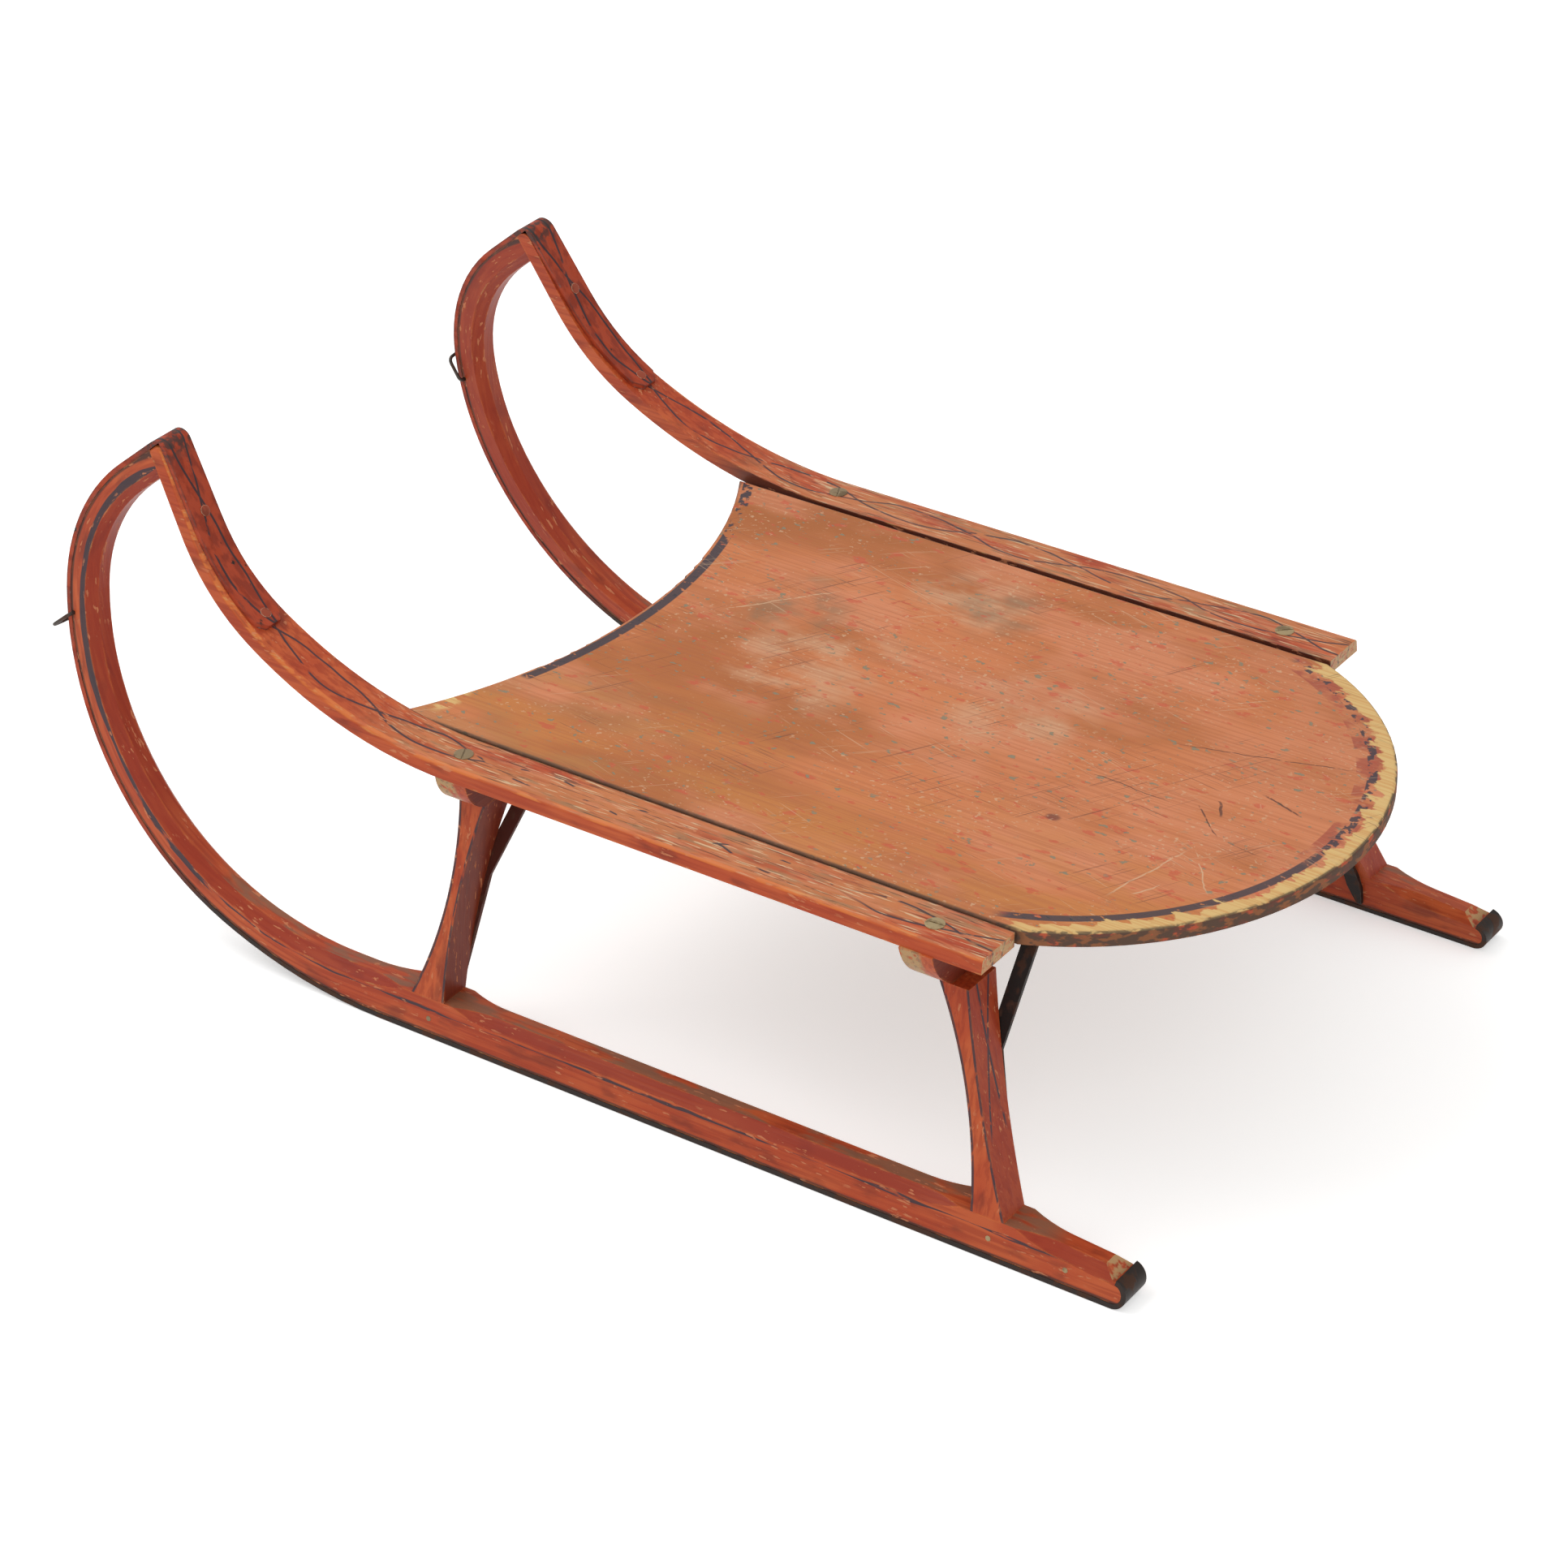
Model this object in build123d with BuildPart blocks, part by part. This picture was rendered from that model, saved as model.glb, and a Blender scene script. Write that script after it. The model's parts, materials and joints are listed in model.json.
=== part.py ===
"""Child's snow sled: bent-wood bow runners on iron shoes, two rails and a plank deck.

Millimetres, +Z up, front of the sled towards -Y, its left side towards +X.
The two side frames lean inwards towards the top. A piece of a side frame is an outline in
the YZ plane, drawn out along X and trimmed to a slab whose two faces lean together.
"""
import os
from math import cos, radians, sin, tan

from build123d import *

os.makedirs("parts", exist_ok=True)

# Side frames
half_track = 246.0          # middle of a runner at the floor, from the middle of the sled
lean_angle = 6.6            # degrees that a side frame leans inwards
lean = tan(radians(lean_angle))
wood_width = 24.6           # runner and posts, across

# Iron shoe
shoe_width = 25.4
shoe_thickness = 3.5
heel_y = 425.0              # where the shoe leaves the floor and curls round the heel
curl_radius = 10.6          # outside of the heel curl
curl_turn = 165.0
bow_start_y = -155.0        # where the shoe leaves the floor and starts up the bow
bow_low_radius, bow_low_turn = 371.0, 22.0
bow_front_radius, bow_front_turn = 227.0, 68.0
bow_high_radius, bow_high_turn = 135.0, 50.0
peak_radius = 9.5           # outside of the shoe where it folds over the peak
shoe_end_turn = 0.5         # degrees of the rail's low bend that the tip of the shoe covers
shoe_end_clip = 7.0         # clipped corners of that tip

# Bent runner
runner_height = 26.0        # wood above the shoe, under the posts
bow_depth = 19.5            # wood behind the shoe, round the bow
heel_height = 21.0          # wood above the shoe, at the heel
heel_bevel = 9.5            # length of the bevel on the heel's end
stop_chamfer = 6.5          # on the two upper edges of a runner, stopped at the posts
chamfer_scoop = 34.0        # length over which a chamfer runs out
boss_reach = 8.0            # full section left in front of and behind a post's foot

# Rails and deck
rail_top = 210.0
rail_thickness = 10.5
rail_width = 38.4
rail_rear_y = 316.4
rail_low_radius, rail_low_turn = 345.0, 30.0
rail_high_radius, rail_high_turn = 165.0, 30.0
deck_gap = 2.5              # between deck and rail
deck_front_y = -171.0       # front corners of the deck
deck_front_rise = 55.0      # depth of the hollow front edge
deck_tail_y = 446.8         # end of the round tail
deck_round = 3.0            # worn upper edges of the deck
rail_round = 3.5            # upper outer edge of a rail

# Crossbars
crossbar_front_y = -98.0
crossbar_rear_y = 269.0
crossbar_width = 25.0
crossbar_front_height = 27.0
crossbar_rear_height = 31.5

# Posts
post_lean_angle = 15.4      # degrees, more than the rest of a side frame
post_widening = 0.0516      # growth of a post's width across the sled, to its height
tenon_across, tenon_along, tenon_length = 16.0, 7.0, 14.0
tenon_ease = 0.15           # room round a tenon in its mortise

# Tow loops
wire_diameter = 2.6
wire_sides = 16             # flats round the wire
groove_ease = 0.15          # room round the wire in its groove
tow_heading = 85.0          # slope of the bow at the groove, in degrees
loop_reach = 20.0           # groove to front bar, between wire centres
loop_stand_off = 4.2        # wire centre to the side of the shoe
loop_corner_radius = 4.0
loop_bend_steps = 5         # straight pieces in one corner
loop_joint_gap = 0.4        # between the wire's ends, in the groove
loop_rise = {"left": -40.0, "right": 64.0}  # degrees above straight ahead, at rest

# Braces
brace_width = 11.0
brace_thickness = 3.2
brace_tip_width = 4.0
brace_tip_z = 7.0
brace_shoulder_z = 20.0
brace_reach = 30.0          # inwards from the bend to the top
brace_tab = 24.0            # lug under the deck

# Derived places
floor = 0.0
rail_bottom = rail_top - rail_thickness
front_bar_bottom = rail_bottom - crossbar_front_height
rear_bar_bottom = rail_bottom - crossbar_rear_height
runner_top = shoe_thickness + runner_height
runner_top_x = half_track - lean * runner_top
forward = (-1.0, 0.0)
rail_offset = half_track - lean * (rail_top + rail_bottom) / 2
deck_half_width = half_track - lean * rail_top - rail_width / 2 - deck_gap
frame_reach = 2 * (heel_y + half_track)
slab_low, slab_high = -50.0, 2 * rail_top

# Posts and braces: every y counts from the middle of the crossbar that the post carries.
# A post's front and rear edge run as (y, z) from the foot through the waist to the top.
# A crossbar's end is set in from the rail's outer face, and its nose is rounded up from below
# over a length, through a middle point given as in and down from the end's top edge.
posts = {
    "front": {
        "bar_y": crossbar_front_y,
        "bar_bottom": front_bar_bottom,
        "bar_inset": 2.0,
        "nose_length": 20.5,
        "nose_middle": (5.0, 15.0),
        "front_edge": ((-30.0, runner_top), (-8.9, 109.5), (-9.0, front_bar_bottom)),
        "rear_edge": ((-2.8, runner_top), (-0.5, 105.0), (12.3, front_bar_bottom)),
        "tenon_y": 1.5,
        "brace_tip": -15.0,
        "brace_bend": (-2.0, 108.5),
        "brace_top": 32.0,
    },
    "rear": {
        "bar_y": crossbar_rear_y,
        "bar_bottom": rear_bar_bottom,
        "bar_inset": -2.0,
        "nose_length": 24.5,
        "nose_middle": (12.5, 22.5),
        "front_edge": ((50.5, runner_top), (36.0, 98.0), (3.4, rear_bar_bottom)),
        "rear_edge": ((75.5, runner_top), (46.0, 101.5), (25.3, rear_bar_bottom)),
        "tenon_y": 7.2,
        "brace_tip": 68.0,
        "brace_bend": (34.0, 117.5),
        "brace_top": 45.0,
    },
}


def crossing(point, direction, other_point, other_direction):
    """Where two lines in the YZ plane meet."""
    (y, z), (dy, dz) = point, direction
    (oy, oz), (ody, odz) = other_point, other_direction
    step = ((oy - y) * odz - (oz - z) * ody) / (dy * odz - dz * ody)
    return (y + step * dy, z + step * dz)


def arc_chain(start, direction, bends, inset=0.0):
    """Tangent arcs one after the other, inset towards their centres; gives the last end and direction."""
    point, heading = start, direction
    for radius, turn in bends:
        arc = JernArc(start=point, tangent=heading, radius=radius - inset, arc_size=-turn)
        point, heading = arc @ 1, arc % 1
    return (point.X, point.Y), (heading.X, heading.Y)


def chain_end(start, bends, inset=0.0):
    """End and direction of an arc chain that starts straight ahead, worked out and not drawn."""
    (y, z), heading = start, 0.0
    for radius, turn in bends:
        after = heading + turn
        y -= (radius - inset) * (sin(radians(after)) - sin(radians(heading)))
        z += (radius - inset) * (cos(radians(heading)) - cos(radians(after)))
        heading = after
    return (y, z), (-cos(radians(heading)), sin(radians(heading)))


def trim_between(levels):
    """Keep what lies between an inner and an outer face, given as (height, middle, width) from the bottom up."""
    inner_edge = [(middle - across / 2, z) for z, middle, across in levels]
    outer_edge = [(middle + across / 2, z) for z, middle, across in levels]
    with BuildSketch(Plane.XZ) as slab:
        Polygon(*inner_edge, *reversed(outer_edge), align=None)
    extrude(slab.sketch, amount=frame_reach, both=True, mode=Mode.INTERSECT)


def trim_to_slab(width, top_width=None):
    """Keep what lies between two faces that lean with the left side frame.

    With a top width, the slab narrows to it from the underside of the straight rail up to the peak.
    """
    # Height and width of the slab, from the bottom up
    if top_width is None:
        levels = [(slab_low, width), (slab_high, width)]
    else:
        levels = [(slab_low, width), (rail_bottom, width)]
        levels += [(peak_inner[1], top_width), (slab_high, top_width)]
    trim_between([(z, half_track - lean * z, across) for z, across in levels])


def post_level(z):
    """Height, middle and width across the sled of a left post."""
    up = z - runner_top
    middle = runner_top_x - up * tan(radians(post_lean_angle))
    return z, middle, wood_width + up * post_widening


def tenon(post, side=1, ease=0.0):
    """Sketch and draw out a post's tenon, or the mortise for it when eased, in the open part."""
    _, top_x, _ = post_level(post["bar_bottom"])
    mode = Mode.SUBTRACT if ease else Mode.ADD
    with BuildSketch(Plane.XY.offset(post["bar_bottom"])) as section:
        with Locations((side * top_x, post["bar_y"] + post["tenon_y"])):
            Rectangle(tenon_across + 2 * ease, tenon_along + 2 * ease)
    extrude(section.sketch, amount=tenon_length + ease, mode=mode)


# The bow and the rail meet at the peak, under the folded shoe
bow_bends = (
    (bow_low_radius, bow_low_turn),
    (bow_front_radius, bow_front_turn),
    (bow_high_radius, bow_high_turn),
)
rail_bends = ((rail_low_radius, rail_low_turn), (rail_high_radius, rail_high_turn))
bow_start = (bow_start_y, floor)
rail_bend_y = crossbar_front_y
bow_outer_end, bow_direction = chain_end(bow_start, bow_bends)
bow_inner_end, _ = chain_end((bow_start_y, shoe_thickness), bow_bends, shoe_thickness)
rail_low_end, rail_direction = chain_end((rail_bend_y, rail_bottom), rail_bends)
rail_high_end, _ = chain_end((rail_bend_y, rail_top), rail_bends, rail_thickness)
strap_inset = rail_thickness + shoe_thickness
strap_end, _ = chain_end((rail_bend_y, rail_top + shoe_thickness), rail_bends, strap_inset)
peak_outer = crossing(bow_outer_end, bow_direction, strap_end, rail_direction)
peak_inner = crossing(bow_inner_end, bow_direction, rail_high_end, rail_direction)
peak_under = crossing(bow_inner_end, bow_direction, rail_low_end, rail_direction)

# Middle of the bow's front bend, and the groove for the tow loop in it
front_bend_y = bow_start_y - (bow_low_radius - bow_front_radius) * sin(radians(bow_low_turn))
front_bend_z = bow_low_radius * (1 - cos(radians(bow_low_turn)))
front_bend_z += bow_front_radius * cos(radians(bow_low_turn))
groove = wire_diameter + 2 * groove_ease
pivot_radius = bow_front_radius - shoe_thickness - groove / 2
pivot_y = front_bend_y - pivot_radius * sin(radians(tow_heading))
pivot_z = front_bend_z - pivot_radius * cos(radians(tow_heading))
pivot_x = half_track - lean * pivot_z


def save(part, name):
    """Label one piece and write it."""
    part.label = name
    export_step(part, f"parts/{name}.step")


def save_pair(left_part, name):
    """Write a piece of the left side and its mirror image on the right."""
    save(left_part, f"{name}_left")
    with BuildPart() as right:
        mirror(left_part, about=Plane.YZ)
    save(right.part, f"{name}_right")


# Deck: one board between the rails, hollow front edge and round tail
with BuildPart() as deck:
    with BuildSketch(Plane.XY.offset(rail_bottom)):
        with BuildLine():
            ThreePointArc(
                (-deck_half_width, deck_front_y),
                (0, deck_front_y + deck_front_rise),
                (deck_half_width, deck_front_y),
            )
            Line((deck_half_width, deck_front_y), (deck_half_width, rail_rear_y))
            ThreePointArc(
                (deck_half_width, rail_rear_y),
                (0, deck_tail_y),
                (-deck_half_width, rail_rear_y),
            )
            Line((-deck_half_width, rail_rear_y), (-deck_half_width, deck_front_y))
        make_face()
    extrude(amount=rail_thickness)
    fillet(deck.faces().sort_by(Axis.Z)[-1].edges(), deck_round)
save(deck.part, "deck")

# Crossbars: under rails and deck, ends rounded up from below, mortised for the posts
for place, post in posts.items():
    bar_end = rail_offset + rail_width / 2 - post["bar_inset"]
    nose_foot = bar_end - post["nose_length"]
    nose_in, nose_down = post["nose_middle"]
    with BuildPart() as crossbar:
        with BuildSketch(Plane.XZ.offset(-post["bar_y"])):
            with BuildLine():
                Line((-bar_end, rail_bottom), (bar_end, rail_bottom))
                Line((-nose_foot, post["bar_bottom"]), (nose_foot, post["bar_bottom"]))
                for side in (-1, 1):
                    ThreePointArc(
                        (side * bar_end, rail_bottom),
                        (side * (bar_end - nose_in), rail_bottom - nose_down),
                        (side * nose_foot, post["bar_bottom"]),
                    )
            make_face()
        extrude(amount=crossbar_width / 2, both=True)
        for side in (-1, 1):
            tenon(post, side, tenon_ease)
    save(crossbar.part, f"crossbar_{place}")

# Rails: straight along the deck, then bent up to the peak
with BuildPart() as rail:
    with BuildSketch(Plane.YZ):
        with BuildLine():
            Line((rail_rear_y, rail_bottom), (rail_bend_y, rail_bottom))
            low_end, _ = arc_chain((rail_bend_y, rail_bottom), forward, rail_bends)
            Line(low_end, peak_under)
            Line(peak_under, peak_inner)
            high_end, _ = arc_chain((rail_bend_y, rail_top), forward, rail_bends, rail_thickness)
            Line(peak_inner, high_end)
            Line((rail_bend_y, rail_top), (rail_rear_y, rail_top))
            Line((rail_rear_y, rail_top), (rail_rear_y, rail_bottom))
        outline = make_face()
        peak_corner = outline.vertices().sort_by_distance(peak_inner)[0]
        fillet(peak_corner, peak_radius - shoe_thickness)
    extrude(amount=frame_reach)
    trim_to_slab(rail_width, top_width=shoe_width)
    outer_edge = (rail_offset + rail_width / 2, (rail_bend_y + rail_rear_y) / 2, rail_top)
    fillet(rail.edges().sort_by_distance(outer_edge)[0], rail_round)
save_pair(rail.part, "rail")

# Runners: straight along the floor, bent up round the bow, with the end against the rail
heel_top = 2 * curl_radius - shoe_thickness
heel_middle = curl_radius
heel_round = curl_radius - shoe_thickness
heel_slope_y = crossbar_rear_y + posts["rear"]["rear_edge"][0][0] + boss_reach
heel_slope_end = (heel_y - heel_bevel, shoe_thickness + heel_height)
wood_start = (bow_start_y, shoe_thickness)
wood_bow_end, _ = chain_end(wood_start, bow_bends, shoe_thickness)
bow_total = shoe_thickness + bow_depth
inner_low_end, _ = chain_end(bow_start, bow_bends[:1])
inner_low_y = inner_low_end[0] + bow_total * sin(radians(bow_low_turn))
inner_low_z = inner_low_end[1] + bow_total * cos(radians(bow_low_turn))
inner_low_radius = (inner_low_z - runner_top) / (1 - cos(radians(bow_low_turn)))
inner_start_y = inner_low_y + inner_low_radius * sin(radians(bow_low_turn))
inner_bends = (
    (inner_low_radius, bow_low_turn),
    (bow_front_radius - bow_total, bow_front_turn),
    (bow_high_radius - bow_total, bow_high_turn),
)
inner_bow_end, _ = chain_end((inner_start_y, runner_top), inner_bends)
runner_tip = crossing(inner_bow_end, bow_direction, rail_low_end, rail_direction)


def arris(side, start_y, along, upper_face):
    """Sketch plane along an upper arris of the left runner, y pointing out of it, and the chamfer's depth."""
    side_face = Vector(side, 0, side * lean).normalized()
    out = (upper_face + side_face).normalized()
    depth = stop_chamfer * sin(radians(upper_face.get_angle(side_face) / 2))
    origin = (runner_top_x + side * wood_width / 2, start_y, runner_top)
    return Plane(origin=origin, x_dir=along, z_dir=along.cross(out)), depth


def boss(square_runner, front_y, rear_y):
    """The square section of a runner under a post, scooped down to the chamfers in front and behind."""
    with BuildPart() as block:
        for side in (-1, 1):
            plane, depth = arris(side, 0, Vector(0, 1, 0), Vector(0, 0, 1))
            front, rear = front_y - chamfer_scoop, rear_y + chamfer_scoop
            with BuildSketch(plane) as keep:
                with BuildLine():
                    TangentArc((front, -depth), (front_y, 0), tangent=(1, 0))
                    Line((front_y, 0), (rear_y, 0))
                    TangentArc((rear, -depth), (rear_y, 0), tangent=(-1, 0))
                    Polyline((rear, -depth), (rear, -2 * depth), (front, -2 * depth), (front, -depth))
                make_face()
            extrude(keep.sketch, amount=stop_chamfer, both=True)
        add(square_runner, mode=Mode.INTERSECT)
    return block.part


with BuildPart() as runner:
    with BuildSketch(Plane.YZ):
        with BuildLine():
            Line((heel_y, shoe_thickness), wood_start)
            arc_chain(wood_start, forward, bow_bends, shoe_thickness)
            Line(wood_bow_end, peak_under)
            Line(peak_under, runner_tip)
            Line(runner_tip, inner_bow_end)
            arc_chain((inner_start_y, runner_top), forward, inner_bends)
            Polyline((inner_start_y, runner_top), (heel_y, runner_top), (heel_y, heel_top))
            ThreePointArc((heel_y, heel_top), (heel_y + heel_round, heel_middle), (heel_y, shoe_thickness))
        make_face()
    extrude(amount=frame_reach)
    trim_to_slab(wood_width)
    square_runner = runner.part
    arrises = []
    for side in (-1, 1):
        middle = (runner_top_x + side * wood_width / 2, (bow_start_y + heel_y) / 2, runner_top)
        arrises.append(runner.edges().sort_by_distance(middle)[0])
    chamfer(arrises, stop_chamfer)

    # Square bosses under the posts; the rear one goes on to the heel
    for place, post in posts.items():
        front_y = post["bar_y"] + post["front_edge"][0][0] - boss_reach
        rear_y = post["bar_y"] + post["rear_edge"][0][0] + boss_reach
        add(boss(square_runner, front_y, rear_y if place == "front" else heel_y + curl_radius))

    # Heel: sloped top with its own chamfers, and a bevelled end
    with BuildSketch(Plane.YZ):
        with BuildLine():
            Polyline((heel_slope_y, runner_top), heel_slope_end, (heel_y, heel_top))
            Polyline((heel_y, heel_top), (heel_y, 2 * runner_top), (heel_slope_y, 2 * runner_top))
            Line((heel_slope_y, 2 * runner_top), (heel_slope_y, runner_top))
        make_face()
    extrude(amount=frame_reach, mode=Mode.SUBTRACT)
    slope = Vector(0, heel_slope_end[0] - heel_slope_y, heel_slope_end[1] - runner_top)
    slope_length = slope.length
    for side in (-1, 1):
        along = slope.normalized()
        plane, depth = arris(side, heel_slope_y, along, Vector(1, 0, 0).cross(along))
        with BuildSketch(plane) as heel_chamfer:
            with BuildLine():
                TangentArc((chamfer_scoop, -depth), (0, 0), tangent=(-1, 0))
                Polyline((0, 0), (0, 2 * depth), (2 * slope_length, 2 * depth))
                Polyline((2 * slope_length, 2 * depth), (2 * slope_length, -depth), (chamfer_scoop, -depth))
            make_face()
        extrude(heel_chamfer.sketch, amount=2 * stop_chamfer, both=True, mode=Mode.SUBTRACT)

    # Groove behind the shoe for the tow loop
    groove_plane = Plane(origin=(pivot_x, pivot_y, pivot_z), x_dir=(0, -1, 0), z_dir=(1, 0, lean))
    with BuildSketch(groove_plane):
        with Locations((groove / 2, 0)):
            Rectangle(2 * groove, groove)
    extrude(amount=shoe_width, both=True, mode=Mode.SUBTRACT)
save_pair(runner.part, "runner")


def strap_face(inset, peak):
    """One face of the strap from the heel curl to the tip on the rail; gives its two ends."""
    heel = (heel_y, inset)
    bow_foot = (bow_start_y, inset)
    rail_foot = (rail_bend_y, rail_top + shoe_thickness - inset)
    rail_inset = strap_inset - inset
    curl = JernArc(start=heel, tangent=(1, 0), radius=curl_radius - inset, arc_size=curl_turn)
    Line(heel, bow_foot)
    bow_end, _ = arc_chain(bow_foot, forward, bow_bends, inset)
    rail_end, _ = chain_end(rail_foot, rail_bends, rail_inset)
    rail_mid, direction = chain_end(rail_foot, rail_bends[:1], rail_inset)
    Line(bow_end, peak)
    Line(peak, rail_end)
    arc_chain(rail_mid, direction, rail_bends[1:], rail_inset)
    tip_turn = rail_low_turn - shoe_end_turn
    tip, tip_direction = chain_end(rail_foot, ((rail_low_radius, tip_turn),), rail_inset)
    arc_chain(tip, tip_direction, ((rail_low_radius, shoe_end_turn),), rail_inset)
    return curl @ 1, tip


# Shoes: an iron strap from the heel curl, under the runner, up the bow, over the peak, down the rail
with BuildPart() as shoe:
    with BuildSketch(Plane.YZ):
        with BuildLine():
            outer_curl, outer_tip = strap_face(0.0, peak_outer)
            inner_curl, inner_tip = strap_face(shoe_thickness, peak_inner)
            Line(outer_curl, inner_curl)
            Line(outer_tip, inner_tip)
        outline = make_face()
        fillet(outline.vertices().sort_by_distance(peak_outer)[0], peak_radius)
        fillet(outline.vertices().sort_by_distance(peak_inner)[0], peak_radius - shoe_thickness)
    extrude(amount=frame_reach)
    trim_to_slab(shoe_width)
    tip_x = half_track - lean * outer_tip[1]
    tip_y = outer_tip[0]
    with BuildSketch(Plane.XY.offset(rail_top)):
        for side in (-1, 1):
            corner_x = tip_x + side * shoe_width / 2
            Polygon(
                (corner_x - 2 * side * shoe_end_clip, tip_y + shoe_end_clip),
                (corner_x + side * shoe_end_clip, tip_y - 2 * shoe_end_clip),
                (corner_x + side * shoe_end_clip, tip_y + shoe_end_clip),
                align=None,
            )
    extrude(amount=rail_top, mode=Mode.SUBTRACT)
save_pair(shoe.part, "shoe")

# Posts: waisted, leaning inwards from the runner, tenoned up into the crossbar
for place, post in posts.items():
    with BuildPart() as upright:
        with BuildSketch(Plane((0, post["bar_y"], 0), x_dir=(0, 1, 0), z_dir=(1, 0, 0))):
            with BuildLine():
                ThreePointArc(*post["front_edge"])
                Line(post["front_edge"][2], post["rear_edge"][2])
                ThreePointArc(*post["rear_edge"])
                Line(post["rear_edge"][0], post["front_edge"][0])
            make_face()
        extrude(amount=frame_reach)
        trim_between([post_level(floor), post_level(rail_top)])
        tenon(post)
    save_pair(upright.part, f"post_{place}")

# Braces: flat iron from the inner side of runner and post up and inwards to the deck
for place, post in posts.items():
    bend_z = post["brace_bend"][1]
    bend_y = post["bar_y"] + post["brace_bend"][0]
    tip_y = post["bar_y"] + post["brace_tip"]
    top_y = post["bar_y"] + post["brace_top"]
    seat = half_track - wood_width / 2 - brace_thickness / 2
    _, bend_middle, bend_across = post_level(bend_z)
    bend_x = bend_middle - bend_across / 2 - brace_thickness / 2
    top_x = bend_x - brace_reach
    along = (bend_y - tip_y) / (bend_z - brace_tip_z)
    shoulder_y = tip_y + along * (brace_shoulder_z - brace_tip_z)
    foot_y = tip_y + along * (runner_top - brace_tip_z)
    # Sections from the tip up: x, y, z and width along the sled
    sections = (
        (seat - lean * brace_tip_z, tip_y, brace_tip_z, brace_tip_width),
        (seat - lean * brace_shoulder_z, shoulder_y, brace_shoulder_z, brace_width),
        (seat - lean * runner_top, foot_y, runner_top, brace_width),
        (bend_x, bend_y, bend_z, brace_width),
        (top_x, top_y, rail_bottom, brace_width),
    )
    with BuildPart() as brace:
        for lower, upper in zip(sections, sections[1:]):
            for x, y, z, width in (lower, upper):
                with BuildSketch(Plane.XY.offset(z)):
                    with Locations((x, y)):
                        Rectangle(brace_thickness, width)
            loft(ruled=True)
        with BuildSketch(Plane.XY.offset(rail_bottom)):
            with Locations((top_x - brace_tab / 2, top_y)):
                Rectangle(brace_tab + brace_thickness, brace_width)
        extrude(amount=-brace_thickness)
    save_pair(brace.part, f"brace_{place}")

# Tow loops: one wire through the groove behind each shoe, closed in front of it
for side, sign in (("left", 1), ("right", -1)):
    rise = radians(loop_rise[side])
    across = Vector(sign, 0, lean).normalized()
    upright = Vector(-sign * lean, 0, 1).normalized()
    ahead = Vector(0, -1, 0) * cos(rise) + upright * sin(rise)
    pivot = Vector(sign * pivot_x, pivot_y, pivot_z)
    half_span = shoe_width / 2 + loop_stand_off
    start = pivot + across * (loop_joint_gap / 2)
    end = pivot - across * (loop_joint_gap / 2)
    corners = [
        pivot + across * half_span,
        pivot + across * half_span + ahead * loop_reach,
        pivot - across * half_span + ahead * loop_reach,
        pivot - across * half_span,
    ]
    # Each corner is bent round in short straight steps
    bends = []
    for before, corner, after in zip([start, *corners], corners, [*corners[1:], end]):
        back, onward = (before - corner).normalized(), (after - corner).normalized()
        for step in range(loop_bend_steps + 1):
            turn = radians(90 * step / loop_bend_steps)
            bends.append(corner + (back * (1 - sin(turn)) + onward * (1 - cos(turn))) * loop_corner_radius)
    with BuildPart() as loop:
        with BuildLine() as path:
            Polyline(start, *bends, end)
        with BuildSketch(Plane(origin=start, z_dir=across)):
            RegularPolygon(wire_diameter / 2, wire_sides)
        sweep(path=path.wire(), transition=Transition.RIGHT)
    save(loop.part, f"tow_loop_{side}")
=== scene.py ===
"""Looks of an antique child's snow sled: old oil paint, pinstripes, wear, iron and fastenings.

Sizes of the sled are in millimetres, as on a drawing, and become metres only where a mesh is made.
The studio's sizes are in metres.
"""

import json
import logging
import math
from dataclasses import dataclass, field
from enum import Enum
from functools import partial, reduce
from typing import Any, Callable, Mapping, Sequence

import bpy
from mathutils import Matrix, Vector

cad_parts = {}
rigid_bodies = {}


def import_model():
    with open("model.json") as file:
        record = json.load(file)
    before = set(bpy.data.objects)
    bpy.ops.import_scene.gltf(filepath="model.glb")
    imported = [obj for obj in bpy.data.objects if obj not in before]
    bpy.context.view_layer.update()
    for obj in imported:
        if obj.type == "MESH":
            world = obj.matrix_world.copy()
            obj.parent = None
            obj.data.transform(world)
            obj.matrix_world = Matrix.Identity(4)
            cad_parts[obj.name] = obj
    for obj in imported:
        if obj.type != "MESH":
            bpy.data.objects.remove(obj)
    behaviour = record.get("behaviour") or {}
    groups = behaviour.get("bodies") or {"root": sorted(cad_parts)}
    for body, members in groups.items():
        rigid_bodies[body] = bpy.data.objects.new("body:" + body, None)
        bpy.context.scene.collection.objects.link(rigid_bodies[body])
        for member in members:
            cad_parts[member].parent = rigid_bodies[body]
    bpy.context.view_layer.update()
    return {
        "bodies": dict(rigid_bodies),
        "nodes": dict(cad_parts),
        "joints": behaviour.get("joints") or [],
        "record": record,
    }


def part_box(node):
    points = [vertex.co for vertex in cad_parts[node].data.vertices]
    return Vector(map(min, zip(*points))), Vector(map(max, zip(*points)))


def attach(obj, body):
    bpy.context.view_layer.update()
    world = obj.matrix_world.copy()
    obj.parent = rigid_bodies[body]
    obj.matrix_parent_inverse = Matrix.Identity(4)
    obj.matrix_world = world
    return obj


LOG = logging.getLogger("snow_sled")
MM = 0.001
# Farther than any place on the sled, for a limit that is never reached.
BEYOND = 1e6
# Steps by which a seed moves a pattern along the three axes, so that no two patterns match.
SEED_STEPS = (7.31, 3.17, 5.71)

Socket = bpy.types.NodeSocket
Drawing = Callable[..., Socket]
Pair = tuple[float, float]
Triple = tuple[float, float, float]
# Y and Z of a circle's centre, and its radius.
Circle = tuple[float, float, float]
# X and Y of an oval's centre, and its radius along each.
Oval = tuple[float, float, float, float]
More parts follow.
